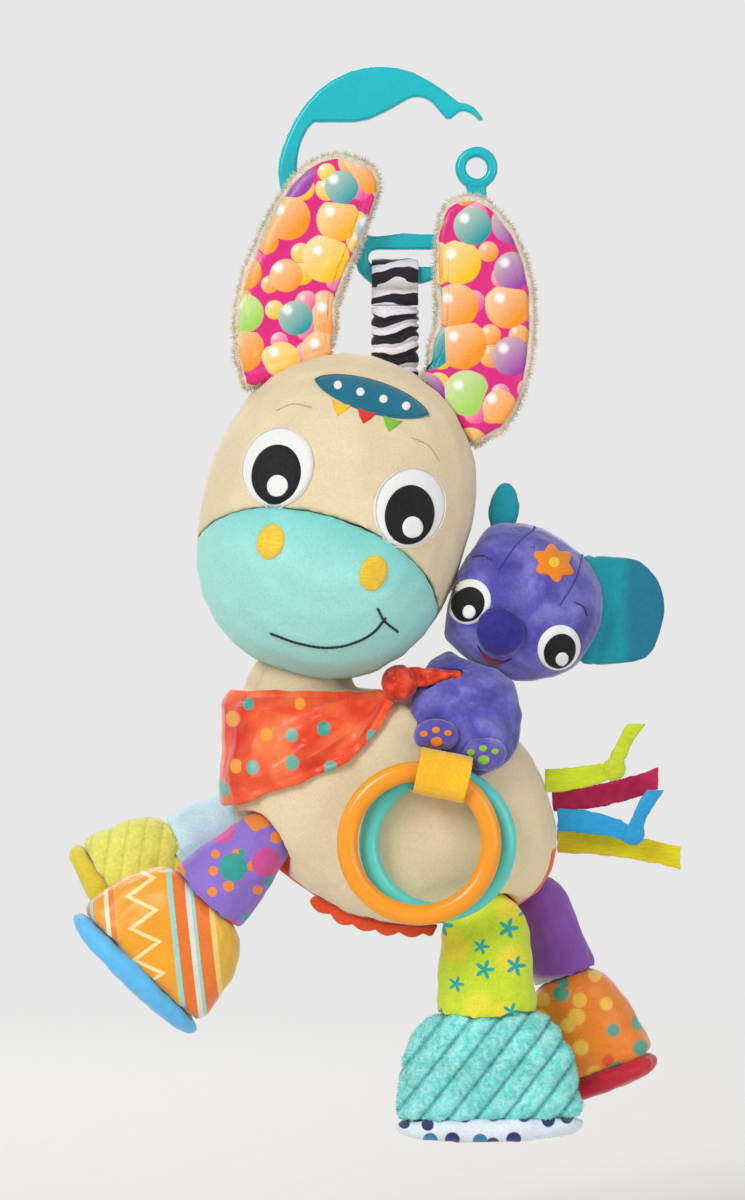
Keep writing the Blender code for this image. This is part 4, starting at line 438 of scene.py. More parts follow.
SATIN_RED = cloth("red satin", "#C8102E", **SATIN, rough=0.42, blotch=0.1)
SOLE_YELLOW = cloth("yellow sole cotton", "#E6D238", **COTTON)
print("printed cloths ready")

# %% [markdown]
# ## Thread, ribbon and elastic
#
# Embroidery and ribbon are laid threads, so their grain is long one way, and it catches the light
# in fine lines. The strap's cloth is black and white, and its bands follow its gathers. Sewing
# thread is too thin to show a grain.

# %% Thread, ribbon and elastic
RIB = (0.15, 1.0, 1.0)
ACROSS = (1.0, 1.0, 0.3)
THREAD_YELLOW = cloth("yellow embroidery", "#F5C932", pile=0.25, rough=0.45, blotch=0.15, grain=RIB)
THREAD_DARK = cloth("black thread", "#15121A", pile=0.2, depth=0.05, rough=0.55)
THREAD_COLOURS = {"cream": "#C9B48A", "teal": "#0E7484", "white": "#E9E5DA", "purple": "#2F2680"}
RIBBON_COLOURS = {"lime": "#CFE022", "crimson": "#C4104F", "blue": "#1D9ED9", "yellow": "#E8D400"}
THREADS, RIBBONS = {}, {}
for shade, colour in THREAD_COLOURS.items():
    THREADS[shade] = cloth(shade + " thread", colour, pile=0.2, depth=0.05, rough=0.6)
for shade, colour in RIBBON_COLOURS.items():
    RIBBONS[shade] = cloth(shade + " ribbon", colour, pile=0.25, depth=0.08, rough=0.4, grain=RIB)
RIBBON_GOLD = cloth("golden ribbon", "#FFC21E", pile=0.2, depth=0.03, rough=0.45, grain=ACROSS)
ELASTIC_WHITE = cloth("white elastic", "#EFEFEF", depth=0.1, rough=0.85)
BAND_STOPS = ((0.0, "#F0EBF3"), (0.49, "#F0EBF3"), (0.52, "#1B1722"), (0.97, "#1B1722"))


def stripes(tree, ground):
    """Black bands on white, one to every second gather; the gathers are counted in fold."""
    fold = add(tree, "ShaderNodeAttribute", attribute_name="fold").outputs["Fac"]
    waver = add(tree, SPAN, add(tree, NOISE, Vector=where(tree), Scale=260.0), *NOISE_SPAN, 100.3, 100.5)
    count = add(tree, MATH, fold, waver, operation="ADD")
    pair = add(tree, MATH, add(tree, MATH, count, 2.0, operation="DIVIDE"), operation="FRACT")
    return through(add(tree, RAMP, pair), BAND_STOPS)


STRIPED_CLOTH = cloth("striped cloth", "#F0EBF3", stripes, pile=0.3, depth=0.06, rough=0.75)
print(len(bpy.data.materials), "materials")

# %% [markdown]
# ## Plastic
#
# The hook and the rings are injection-moulded. The hook is a soft, slightly see-through
# polypropylene, so a little light passes under its skin. The rings are harder and glossier.
# Handling leaves faint cloudy marks, which a fine noise puts into the roughness.


# %% Moulded plastic
def plastic(name, colour, rough=0.25, glow=0.0):
    """Moulded plastic; glow is the share of light that passes under its skin."""
    made = bpy.data.materials.new(name)
    made.use_nodes = True
    tree = made.node_tree
    cloudy = add(tree, NOISE, Vector=where(tree), Scale=45.0, Detail=2.0)
    rubbed = add(tree, NOISE, Vector=where(tree), Scale=600.0, Detail=4.0)
    shade = add(tree, SPAN, cloudy, *NOISE_SPAN, 0.93, 1.04)
    finish = {
        "Base Color": add(tree, "ShaderNodeHueSaturation", Color=colour, Value=shade),
        "Roughness": add(tree, SPAN, rubbed, 0.35, 0.75, rough, rough + 0.12),
        "Normal": add(tree, "ShaderNodeBump", Height=rubbed, Distance=0.02 * MM, Strength=0.5),
        "Subsurface Weight": glow,
        "Subsurface Radius": (2 * MM, 2 * MM, 2 * MM),
        "Subsurface Scale": 0.5,
        "IOR": 1.49,
    }
    for label, value in finish.items():
        feed(tree, tree.nodes["Principled BSDF"].inputs[label], value)
    return made


POLYPROPYLENE_TEAL = plastic("teal polypropylene", "#08BAC6", 0.2, 0.25)
RING_ORANGE = plastic("orange ring plastic", "#FB9D18", 0.18, 0.1)
RING_TURQUOISE = plastic("turquoise ring plastic", "#5BD2C8", 0.18, 0.1)
CAPSULE_MILKY = plastic("milky capsule plastic", "#E6E6E0", 0.4)
BEAD_RED = plastic("red bead plastic", "#D8453A", 0.3)
FILM_CLEAR = plastic("crinkle film", "#DDE6E8", 0.15)

# %% The rattle keeps its solids
for node, obj in frame["nodes"].items():
    if node.startswith("rattle"):
        obj.data.materials.clear()
        obj.data.materials.append(CAPSULE_MILKY if "shell" in node else BEAD_RED)
print("plastics ready")

# %% [markdown]
# ## Stuffed pieces
#
# A stuffed piece is a cloth skin that its filling pushes out. It is fullest in the middle of each
# panel, pulled in along every seam, and puckered beside the seam, where the thread gathers the
# cloth. Each one starts from its solid, remeshed fine. The solid's sharp edges are its seams, so
# the distance to them gives the pull and the puckers, and noise gives the lumps of the filling.
# Mesh code does this rather than a cloth simulation, because the skins are full and tight.

# %% Which body and slot each solid has
BODY_OF = {node: body for body, nodes in frame["record"]["behaviour"]["bodies"].items() for node in nodes}
SLOT_OF = {row["node"]: row["material_slot"] for row in frame["record"]["subparts"]}
COARSE = 1.0
WELD = 2e-6
print(len(SLOT_OF), "solids have a slot, voxels are", COARSE, "times their size")


# %% Mesh helpers
def new_piece(name, mesh, look):
    """Object of a mesh in one cloth, shaded smooth."""
    obj = bpy.data.objects.new(name, mesh)
    bpy.context.scene.collection.objects.link(obj)
    mesh.materials.clear()
    mesh.materials.append(look)
    mesh.shade_smooth()
    return obj


def mesh_from(name, points, faces, look):
    """Closed piece from points and faces, welded and facing outwards."""
    mesh = bpy.data.meshes.new(name)
    mesh.from_pydata([tuple(point) for point in points], [], faces)
    shape = bmesh.new()
    shape.from_mesh(mesh)
    bmesh.ops.remove_doubles(shape, verts=shape.verts, dist=1e-7)
    bmesh.ops.recalc_face_normals(shape, faces=shape.faces)
    shape.to_mesh(mesh)
    shape.free()
    return new_piece(name, mesh, look)


def settle(obj, body, slot, *nodes):
    """The piece rides on its body and stands for its solids; its slot is not used."""
    if nodes:
        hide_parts(*nodes)
    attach(obj, body)
    return obj


def baked(obj):
    """Turn what the modifiers make into the object's own mesh."""
    graph = bpy.context.evaluated_depsgraph_get()
    mesh = bpy.data.meshes.new_from_object(obj.evaluated_get(graph))
    obj.modifiers.clear()
    obj.data = mesh
    return obj


def read(collection, name):
    """Three numbers of each item, as rows of an array."""
    values = np.empty(len(collection) * 3)
    collection.foreach_get(name, values)
    return values.reshape(-1, 3)


print("mesh helpers ready")

# %% Seams and lumps
SEAM_ANGLE, SEAM_STEP, FAR = math.radians(38), 0.7 * MM, 1.0


def seam_points(shape):
    """Points along the sharp edges of a solid, less than a millimetre apart."""
    found = []
    for edge in shape.edges:
        if len(edge.link_faces) == 2 and edge.calc_face_angle() > SEAM_ANGLE:
            start, end = (vertex.co for vertex in edge.verts)
            steps = max(1, int((end - start).length / SEAM_STEP))
            found += [start.lerp(end, i / steps) for i in range(steps + 1)]
    return found


def distance_to(seams, points):
    """How far each point lies from the nearest seam, or FAR where there is none."""
    if not seams:
        return np.full(len(points), FAR)
    tree = KDTree(len(seams))
    for i, point in enumerate(seams):
        tree.insert(point, i)
    tree.balance()
    return np.array([tree.find(point)[2] for point in points])


def lumps(points, size, seed, octaves=2):
    """Smooth noise between about -1 and 1, with lumps of a size in mm."""
    shift = Vector((seed * 7.13, seed * 3.7, seed * 1.9))  # far enough for lumps of its own
    return np.array([noise.fractal(Vector(p) / (size * MM) + shift, 1.0, 2.0, octaves) for p in points])


print("seams bend more than", round(math.degrees(SEAM_ANGLE)), "degrees")


# %% A stuffed piece
PUCKER_REACH = 4.5 * MM


def stuffed(
    name, node, look, voxel=1.0, smooth=8, pull=0.5, pull_width=1.6, grow=0.0, lump=0.45, lump_size=14.0,
    pucker=0.28, pucker_size=2.6, seed=1, extra=None, ride=True, base=None,
):
    """Padded piece in place of a solid, swollen by grow and pulled in at its seams; sizes in mm."""
    shape = bmesh.new()
    shape.from_mesh(base or frame["nodes"][node].data)
    bmesh.ops.remove_doubles(shape, verts=shape.verts, dist=WELD)
    seams = seam_points(shape)
    mesh = bpy.data.meshes.new(name)
    shape.to_mesh(mesh)
    shape.free()
    obj = new_piece(name, mesh, look)
    skin = obj.modifiers.new("skin", "REMESH")
    skin.mode = "VOXEL"
    skin.voxel_size = voxel * COARSE * MM
    relax = obj.modifiers.new("relax", "SMOOTH")
    relax.factor = 0.5
    relax.iterations = smooth
    baked(obj)
    points, out = read(obj.data.vertices, "co"), read(obj.data.vertex_normals, "vector")
    away = distance_to(seams, points)
    move = grow + lump * lumps(points, lump_size, seed)
    move += pucker * lumps(points, pucker_size, seed + 3, 1) * np.exp(-away / PUCKER_REACH)
    move -= pull * np.exp(-((away / (pull_width * MM)) ** 2))
    if extra is not None:
        move += extra(points, out, away)
    obj.data.vertices.foreach_set("co", (points + out * (move * MM)[:, None]).ravel())
    obj.data.update()
    obj.data.materials.clear()
    obj.data.materials.append(look)
    obj.data.shade_smooth()
    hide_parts(node)
    if ride:
        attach(obj, BODY_OF[node])
    return obj


print("stuffing ready")

# %% [markdown]
# ## Donkey's head and body
#
# The head is one cream skin with a mint muzzle panel let into it. The body is two cream sides with
# a strip between them, cream above and red under the belly, and a scalloped edging along it. They
# could be cut and sewn in a cloth simulation, but full, tight skins only need their solids.

# %% Head and body
HEAD = stuffed(
    "head_plush", "head", VELOUR_CREAM, lump=0.4, pull=0.1, pull_width=1.2, grow=0.1, seed=1
)
MUZZLE = stuffed(
    "muzzle_plush", "muzzle", VELOUR_MINT, voxel=0.9, lump=0.35, pull=0.05, pull_width=1.2, grow=0.2, seed=2,
)
stuffed("body_side_near", "body_near", VELOUR_CREAM, lump=0.6, pull=0.3, pucker=0.4, grow=0.1, seed=3)
stuffed("body_side_far", "body_far", VELOUR_CREAM, lump=0.6, pull=0.3, pucker=0.4, grow=0.1, seed=4)
stuffed("body_belly", "body_gusset", GUSSET_CLOTH, lump=0.3, pull=0.2, seed=5)
stuffed(
    "belly_scallops", "belly_trim", ORANGE_CORD, voxel=0.4, lump=0.1, lump_size=5, pull=0.0, pucker=0.05,
    grow=0.45, smooth=2, seed=54,
)
print("head", len(HEAD.data.polygons), "faces")

# %% [markdown]
# ## Appliqué
#
# Eyes, nostrils and small patches are felt shapes sewn flat onto a stuffed skin, so they follow
# its bulge. They could be painted into the cloth's colour, but real felt has a rim that catches
# the light. So each is a flat outline, filled with rings of points that are dropped straight back
# onto the skin and lifted by the felt's thickness, with a rounded rim.


# %% Points on a skin
def skin_of(*objs):
    """Search tree over the faces of some pieces."""
    points, faces = [], []
    for obj in objs:
        start = len(points)
        points += [vertex.co.copy() for vertex in obj.data.vertices]
        faces += [[start + i for i in polygon.vertices] for polygon in obj.data.polygons]
    return BVHTree.FromPolygons(points, faces)


IN_FRONT, UNDERLAY, CREASE_SIZE = -0.2, 0.5, 4.5 * MM


def drop_on(skin, place, x, z):
    """Point and normal where a line from the front meets the skin; x and z in mm."""
    start = place @ Vector((x * MM, 0.0, z * MM))
    start.y = IN_FRONT
    point, normal = skin.ray_cast(start, Vector((0.0, 1.0, 0.0)))[:2]
    if point is None:
        beside = place @ Vector((x * MM, 0.0, z * MM)) + Vector((0.0, -0.02, 0.0))
        point, normal = skin.find_nearest(beside)[:2]
    return point, normal


print("points drop from", -IN_FRONT, "m in front")


# %% Outlines and patches
def oval(width, height, x=0.0, z=0.0, count=48, wave=0.0, waves=5, turn=0.0):
    """Outline of an oval, or of a flower when wave is given, in mm."""
    outline = []
    for i in range(count):
        a = 2 * math.pi * i / count
        reach = 1 + wave * math.cos(waves * a)
        u, v = width / 2 * reach * math.cos(a), height / 2 * reach * math.sin(a)
        along = x + u * math.cos(turn) - v * math.sin(turn)
        up = z + u * math.sin(turn) + v * math.cos(turn)
        outline.append((along, up))
    return outline


def patch(name, outline, ground, look, slot, thick=0.7, lift=0.0, nodes=(), rings=7, crease=0.0):
    """Shape laid on a ground, which is a place, a skin and a body; sizes in mm."""
    place, skin, body = ground
    middle = np.mean(outline, axis=0)
    count = len(outline)
    points, faces = [], []
    shares = [0.0] + [math.sin(math.pi / 2 * k / rings) for k in range(1, rings + 1)]
    for share in shares:
        rise = thick * max(0.0, 1 - share**8) ** 0.5
        for u, v in outline if share else [middle]:
            x, z = middle + share * (np.array((u, v)) - middle)
            point, normal = drop_on(skin, place, x, z)
            wave = crease * noise.noise(point / CREASE_SIZE) * min(1.0, 3 * (1 - share))
            points.append(point + normal * (lift + rise + wave) * MM)
    for u, v in outline:
        point, normal = drop_on(skin, place, u, v)
        points.append(point - normal * UNDERLAY * MM)
    point, normal = drop_on(skin, place, *middle)
    points.append(point - normal * UNDERLAY * MM)
    for i in range(count):
        j = (i + 1) % count
        faces.append((0, 1 + i, 1 + j))
        for k in range(rings):
            a, b = 1 + k * count, 1 + (k + 1) * count
            faces.append((a + i, b + i, b + j, a + j))
        last = 1 + rings * count
        faces.append((last + i, len(points) - 1, last + j))
    return settle(mesh_from(name, points, faces, look), body, slot, *nodes)


print("a patch reaches", UNDERLAY, "mm into its skin")

# %% Donkey's face
FACE = (HEAD_PLACE, skin_of(HEAD, MUZZLE), "head")
EYE_X, EYE_Z = 19.4, 8.0
for side, sign in (("left", -1), ("right", 1)):
    x = sign * EYE_X
    patch(
        "eye_felt_" + side, oval(20.0, 23.0, x, EYE_Z, 64), FACE, FELT_WHITE, "white_felt",
        nodes=("eye_white_" + side,)
    )
    pupil = oval(13.8, 16.8, x + 0.4, EYE_Z - 2.0, 56, turn=0.12)
    glint = oval(5.8, 6.2, x + 1.9, EYE_Z - 5.2, 32)
    patch("pupil_felt_" + side, pupil, FACE, FELT_BLACK, "black_felt", lift=0.6, nodes=("pupil_" + side,))
    patch("glint_" + side, glint, FACE, FELT_WHITE, "white_felt", thick=0.5, lift=1.1)
    patch(
        "nostril_thread_" + side, oval(7.6, 10.2, sign * 15.1, -12.6, 40), FACE, THREAD_YELLOW,
        "yellow_thread", thick=0.8, nodes=("nostril_" + side,)
    )
LEAF_REACH, LEAF_RISE, LEAF_Z = 16.5, 4.6, 35.0
leaf = []
for a in np.linspace(0, 2 * math.pi, 48, endpoint=False):
    rise = LEAF_RISE * math.sin(a) * abs(math.sin(a)) ** 0.3
    leaf.append((LEAF_REACH * math.cos(a), LEAF_Z + rise))
patch("forehead_leaf", leaf, FACE, FELTS["deep teal"], "deep_teal_cloth", nodes=("forehead_band",))
for number, x in enumerate((-10.0, -3.4, 3.4, 10.0)):
    patch(
        "leaf_dot_" + str(number), oval(2.4, 2.4, x, LEAF_Z, 20), FACE, FELT_WHITE, "white_felt",
        thick=0.4, lift=0.6, rings=4
    )
for number, (x, look) in enumerate(((-7.5, FELTS["yellow"]), (0.0, FELTS["red"]), (7.5, FELTS["green"]))):
    wedge = [(x - 3.0, 30.9), (x, 30.5), (x + 3.0, 30.9), (x + 1.6, 28.6), (x, 26.8), (x - 1.6, 28.6)]
    patch("leaf_drop_" + str(number), wedge, FACE, look, "deep_teal_cloth", thick=0.5, rings=4)
print("face sewn on")

# %% [markdown]
# ## Stitches
#
# The mouth, the brows and the topstitched hems are rows of thread. A geometry tree turns a run of
# points into a curve and sets a small rounded stitch at even steps along it. Its inputs are the
# thread's thickness, the stitch's length and the thread's material, so one tree does the donkey's
# heavy mouth and the fine topstitching alike. A bump texture would lie flat in a close view.


# %% Stitch tree
def geometry_tree(name, **inputs):
    """Empty geometry tree with named inputs of the given kinds; returns it with its two ends."""
    tree = bpy.data.node_groups.new(name, "GeometryNodeTree")
    tree.interface.new_socket("Geometry", in_out="INPUT", socket_type="NodeSocketGeometry")
    for label, kind in inputs.items():
        tree.interface.new_socket(label, in_out="INPUT", socket_type="NodeSocket" + kind)
    tree.interface.new_socket("Geometry", in_out="OUTPUT", socket_type="NodeSocketGeometry")
    return tree, tree.nodes.new("NodeGroupInput").outputs, tree.nodes.new("NodeGroupOutput")


def run_tree(obj, tree, **values):
    """Run a geometry tree on the object and keep its result as a plain mesh."""
    modifier = obj.modifiers.new(tree.name, "NODES")
    modifier.node_group = tree
    for item in tree.interface.items_tree:
        label = item.name.replace(" ", "_")
        if item.in_out == "INPUT" and label in values:
            modifier[item.identifier] = values[label]
    return baked(obj)


STITCH_OVERLAP = 1.7
STITCHES, given, end = geometry_tree(
    "row of stitches", Thickness="Float", Length="Float", Thread="Material"
)
run = add(STITCHES, "GeometryNodeMeshToCurve", Mesh=given["Geometry"])
beads = add(STITCHES, "GeometryNodeCurveToPoints", mode="LENGTH", Curve=run, Length=given["Length"])
ball = add(STITCHES, "GeometryNodeMeshUVSphere", Segments=8, Rings=6, Radius=0.5)
long = add(STITCHES, MATH, given["Length"], STITCH_OVERLAP, operation="MULTIPLY")
size = add(STITCHES, "ShaderNodeCombineXYZ", given["Thickness"], given["Thickness"], long)
stitch = add(STITCHES, "GeometryNodeTransform", Geometry=ball, Scale=size)
spun = beads.outputs["Rotation"]
row = add(STITCHES, "GeometryNodeInstanceOnPoints", Points=beads, Instance=stitch, Rotation=spun)
real = add(STITCHES, "GeometryNodeRealizeInstances", Geometry=row)
dyed = add(STITCHES, "GeometryNodeSetMaterial", Geometry=real, Material=given["Thread"])
feed(STITCHES, end.inputs["Geometry"], dyed)
print("stitch tree has", len(STITCHES.nodes), "nodes")


# %% A row of stitches
def sewn(name, corners, ground, look, slot, thickness=0.5, length=1.6, lift=0.1, closed=False):
    """Row of stitches on a ground through corners in mm, on a smooth curve."""
    place, skin, body = ground
    if closed:
        corners = list(corners) + [corners[0]]
    smooth = bpy.data.curves.new(name, "CURVE")
    spline = smooth.splines.new("BEZIER")
    spline.bezier_points.add(len(corners) - 1)
    for bezier, (x, z) in zip(spline.bezier_points, corners):
        bezier.co = (x, 0.0, z)
        bezier.handle_left_type = bezier.handle_right_type = "AUTO"
    spline.resolution_u = 8
    holder = bpy.data.objects.new(name, smooth)
    bpy.context.scene.collection.objects.link(holder)
    bpy.context.view_layer.update()
    flat_run = [(vertex.co.x, vertex.co.z) for vertex in holder.to_mesh().vertices]
    bpy.data.objects.remove(holder, do_unlink=True)
    points = []
    for x, z in flat_run:
        point, normal = drop_on(skin, place, x, z)
        points.append(point + normal * lift * MM)
    mesh = bpy.data.meshes.new(name)
    mesh.from_pydata([tuple(point) for point in points], [(i, i + 1) for i in range(len(points) - 1)], [])
    obj = new_piece(name, mesh, look)
    run_tree(obj, STITCHES, Thickness=thickness * MM, Length=length * MM, Thread=look)
    obj.data.shade_smooth()
    return settle(obj, body, slot)


def seen_at(place, x, z):
    """Corner in a piece's own axes, in mm, from where it lies in the world, in mm."""
    point = place.inverted() @ Vector((x * MM, 0.0, z * MM))
    return point.x / MM, point.z / MM


print("a stitch is", STITCH_OVERLAP, "steps long")

# %% Mouth, brows and hems
SMILE = ((-21.1, -147.7), (-13.5, -150.3), (-5.0, -151.4), (2.5, -149.8), (7.5, -146.9), (10.2, -143.7))
smile = [seen_at(HEAD_PLACE, *corner) for corner in SMILE]
tick = [seen_at(HEAD_PLACE, *corner) for corner in ((8.7, -140.9), (10.2, -143.7), (13.9, -146.8))]
sewn("mouth_thread", smile, FACE, THREAD_DARK, "black_felt", 0.9, 1.3)
sewn("mouth_corner", tick, FACE, THREAD_DARK, "black_felt", 0.8, 1.2)
BROWS = {
    "left": ((-24.0, 24.0), (-20.5, 26.6), (-16.0, 27.0)),
    "right": ((15.0, 27.0), (19.5, 26.4), (23.0, 23.6)),
}
for side, brow in BROWS.items():
    sewn("brow_" + side, brow, FACE, THREADS["cream"], "cream_velour", 0.4, 1.2)
for side, sign in (("left", -1), ("right", 1)):
    hem = oval(19.4, 22.4, sign * EYE_X, EYE_Z, 20)
    sewn("eye_hem_" + side, hem, FACE, THREADS["white"], "white_felt", 0.4, 1.1, 0.7, True)
sewn("leaf_hem", leaf[::2], FACE, THREADS["teal"], "deep_teal_cloth", 0.4, 1.2, 0.3, True)
print("mouth and hems sewn")

# %% [markdown]
# ## Koala
#
# The koala is a smaller stuffed head and trunk in crushed velour, with felt ears, sewn onto the
# donkey's back. Its lumps are smaller, as its skin is. It is made like the donkey, because the
# real one is sewn and filled the same way.

# %% Koala's head, trunk and nose
KOALA_HEAD = stuffed(
    "koala_head_plush", "koala_head", VELOUR_PURPLE, voxel=0.7, lump=0.55, lump_size=11, seed=6
)
stuffed(
    "koala_body_plush", "koala_body", VELOUR_PURPLE, voxel=0.7, lump=0.9, lump_size=8, grow=-0.3,
    seed=7
)
stuffed(
    "koala_nose_pad", "koala_nose", VELOUR_NOSE, voxel=0.45, lump=0.1, lump_size=6, pull=0.2,
    pucker=0.08, grow=0.7, seed=8
)
KOALA_FACE = (KOALA_PLACE, skin_of(KOALA_HEAD), "koala_head")
print("koala head", len(KOALA_HEAD.data.polygons), "faces")

# %% [markdown]
# ## Koala's ears, feet and face
#
# The ears are felt sewn at the rim over a thin filling. The ear away from the donkey starts from
# its solid, and its root reaches on to the head. The other one is seen nearly edge on, and there
# a lens of two bulging discs has the rounder rim. Eyes, flower and paw marks are laid on.


# %% Ear forms
ROOT_REACH = 4.5


def rooted(points, out, away):
    """An ear's edge that faces the head reaches on into the head's seam."""
    toward = np.array(KOALA_CENTRE)[None, :] - points
    toward[:, 1] = 0.0
    toward /= np.linalg.norm(toward, axis=1)[:, None]
    return ROOT_REACH * np.clip((out * toward).sum(axis=1), 0.0, 1.0)


def lens(outline, depth, thick, rings=6):
    """Mesh of two bulging discs sewn together at their rim, in mm."""
    middle = np.mean(outline, axis=0)
    count = len(outline)
    points, faces = [], []
    for side in (-1, 1):
        start = len(points)
        points.append(Vector((middle[0], depth + side * thick / 2, middle[1])) * MM)
        for k in range(1, rings + 1):
            share = k / rings
            rise = side * thick / 2 * (1 - share**4) ** 0.5
            for u, v in outline:
                x, z = middle + share * (np.array((u, v)) - middle)
                points.append(Vector((x, depth + rise, z)) * MM)
        for i in range(count):
            j = (i + 1) % count
            faces.append((start, start + 1 + i, start + 1 + j))
            for k in range(rings - 1):
                a, b = start + 1 + k * count, start + 1 + (k + 1) * count
                faces.append((a + i, b + i, b + j, a + j))
    holder = mesh_from("lens", points, faces, FELT_TEAL)
    mesh = holder.data
    bpy.data.objects.remove(holder)
    return mesh


print("ear forms ready")

# %% Ears, feet, eyes and paw marks
EAR_DEPTH, EAR_THICK = -8.0, 3.4
near_ear = lens(oval(7.8, 15.2, 44.7, -111.9, 40, turn=-0.12), EAR_DEPTH, EAR_THICK)
KOALA_EARS = {"left": near_ear, "right": None}
PAW_MARKS = ((-3.6, 0.6, 2.2), (-0.2, 1.7, 2.4), (3.2, 0.8, 2.2), (0.0, -1.6, 3.4))
for side, sign in (("left", -1), ("right", 1)):
    foot = stuffed(
        "koala_foot_pad_" + side, "koala_foot_" + side, VELOUR_PURPLE, voxel=0.5, lump=0.25,
        lump_size=5, pull=0.3, pucker=0.1, seed=9
    )
    stuffed(
        "koala_ear_felt_" + side, "koala_ear_" + side, FELT_TEAL, voxel=0.45, lump=0.4, lump_size=9, pull=0.0,
        pucker=0.12, grow=0.5, smooth=12, seed=10, extra=rooted if side == "right" else None,
        base=KOALA_EARS[side],
    )
    x, z = sign * 14.4 + 1.4, -6.6
    patch(
        "koala_eye_felt_" + side, oval(12.2, 13.2, x, z, 40), KOALA_FACE, FELT_WHITE, "white_felt",
        nodes=("koala_eye_" + side,)
    )
    patch(
        "koala_pupil_" + side, oval(8.8, 10.0, x + 0.3, z - 0.6, 36), KOALA_FACE, FELT_BLACK,
        "black_felt", thick=0.5, lift=0.6
    )
    patch(
        "koala_glint_" + side, oval(3.6, 3.8, x + 1.6, z - 2.2, 24), KOALA_FACE, FELT_WHITE,
        "white_felt", thick=0.4, lift=1.0, rings=4
    )
    toes = skin_of(foot)
    low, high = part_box("koala_foot_" + side)
    middle = (Vector(low) + Vector(high)) / 2 / MM
    look = FELTS["orange"] if side == "left" else FELTS["green"]
    for number, (dx, dz, size) in enumerate(PAW_MARKS):
        mark = oval(size, 0.8 * size, middle.x + dx, middle.z + dz, 18)
        patch(
            "paw_mark_" + side + "_" + str(number), mark, (WORLD_PLACE, toes, "body"), look,
            "violet_velour", thick=0.35, rings=4
        )
print("koala has", len(KOALA_EARS), "ears")

# %% Flower, mouth, darts and brows
patch(
    "koala_flower", oval(11.0, 9.0, 3.5, 14.2, 60, 0.16, 6), KOALA_FACE, FELTS["orange"],
    "purple_velour", thick=0.6
)
patch(
    "koala_flower_eye", oval(3.4, 3.0, 3.5, 14.2, 20), KOALA_FACE, FELTS["yellow"], "purple_velour",
    thick=0.4, lift=0.5, rings=4
)
lips = [(-3.4, -17.5), (0.2, -18.0), (3.9, -17.0), (3.3, -18.6), (1.6, -19.6), (-0.6, -19.7), (-2.6, -18.8)]
patch("koala_mouth", lips, KOALA_FACE, FELTS["dark red"], "dark_purple_felt", thick=0.45, rings=4)
smile = [(-4.6, -16.9), (-3.0, -17.8), (0.2, -18.2), (3.6, -17.3), (4.9, -15.9)]
sewn("koala_smile", smile, KOALA_FACE, THREAD_DARK, "black_felt", 0.5, 0.9)
DARTS = (((-5.0, 22.0), (-8.0, 15.0), (-9.5, 6.0)), ((9.5, 21.0), (11.0, 14.0), (10.5, 5.0)))
for number, dart in enumerate(DARTS):
    sewn("koala_dart_" + str(number), dart, KOALA_FACE, THREADS["purple"], "purple_velour", 0.35, 1.0)
KOALA_BROWS = {
    "left": ((-17.4, 5.6), (-15.4, 6.9), (-13.2, 6.9)),
    "right": ((14.4, 7.0), (16.6, 6.9), (18.4, 5.4)),
}
for side, brow in KOALA_BROWS.items():
    sewn("koala_brow_" + side, brow, KOALA_FACE, THREAD_DARK, "black_felt", 0.45, 0.9)
print("koala ready")

# %% [markdown]
# ## Legs, boots and soles
#
# Each leg hangs as a short stuffed tube in a boot with a padded sole. Two boots are ribbed plush.
# Painted shade in their grooves alone would leave their ribs flat, so they are real ridges in the
# mesh as well, which cast the shadows that make them read as cord.

# %% Legs
LEG_LOOKS = {
    "near_front": (LILAC_PRINT, BOOT_ZIGZAG, SATIN_BLUE),
    "far_front": (PALE_BLUE, PLUSH_YELLOW, SOLE_YELLOW),
    "near_rear": (LIME_STARS, CORD_TURQUOISE, SOLE_WHITE),
    "far_rear": (PURPLE_PRINT, AMBER_PRINT, SATIN_RED),
}
WALE_DEPTH, FINE_DEPTH, RIB_ROUNDNESS = 1.7, 0.5, 0.6
SOLE_CROWN, SOLE_THINNING = 1.3, 1.6


def ribbed(pitch, depth, lean):
    """Rounded ribs that run down a boot, as many as its painted groove shade has lines."""

    def rise(points, out, away):
        along = points[:, 0] * math.cos(lean) - points[:, 2] * math.sin(lean)
        rib = np.abs(np.sin(math.pi * along / (pitch * MM))) ** RIB_ROUNDNESS
        return depth * (rib - 0.5) * np.clip(np.abs(out[:, 1]) * 2.0 + 0.3, 0.0, 1.0)

    return rise


def crowned(points, out, away):
    """A padded sole is fullest in the middle of its length and thins to its toe and heel."""
    middle = points.mean(axis=0)
    reach = np.linalg.norm(points - middle, axis=1)
    return SOLE_CROWN * (1.0 - SOLE_THINNING * (reach / reach.max()) ** 2)


print("ribs stand", WALE_DEPTH, "and", FINE_DEPTH, "mm high")

# %% Dressed legs
RIBBED = {
    "near_rear": ribbed(WALE_PITCH, WALE_DEPTH, WALE_LEAN),
    "far_front": ribbed(FINE_RIB, FINE_DEPTH, FINE_LEAN),
}
BOOTS = {}
for number, (leg, looks) in enumerate(LEG_LOOKS.items()):
    corded = RIBBED.get(leg)
    stuffed(
        "leg_plush_" + leg, "leg_" + leg, looks[0], voxel=0.8, lump=0.6, lump_size=8, pucker=0.4,
        grow=-0.3, seed=20 + number
    )
    BOOTS[leg] = stuffed(
        "boot_plush_" + leg, "boot_" + leg, looks[1], voxel=0.7, lump=0.6, lump_size=9, pucker=0.45,
        seed=30 + number, extra=corded
    )
    stuffed(
        "sole_pad_" + leg, "sole_" + leg, looks[2], voxel=0.6, lump=0.5, lump_size=7, pull=0.1,
        pucker=0.35, seed=40 + number, extra=crowned
    )
print("legs dressed")

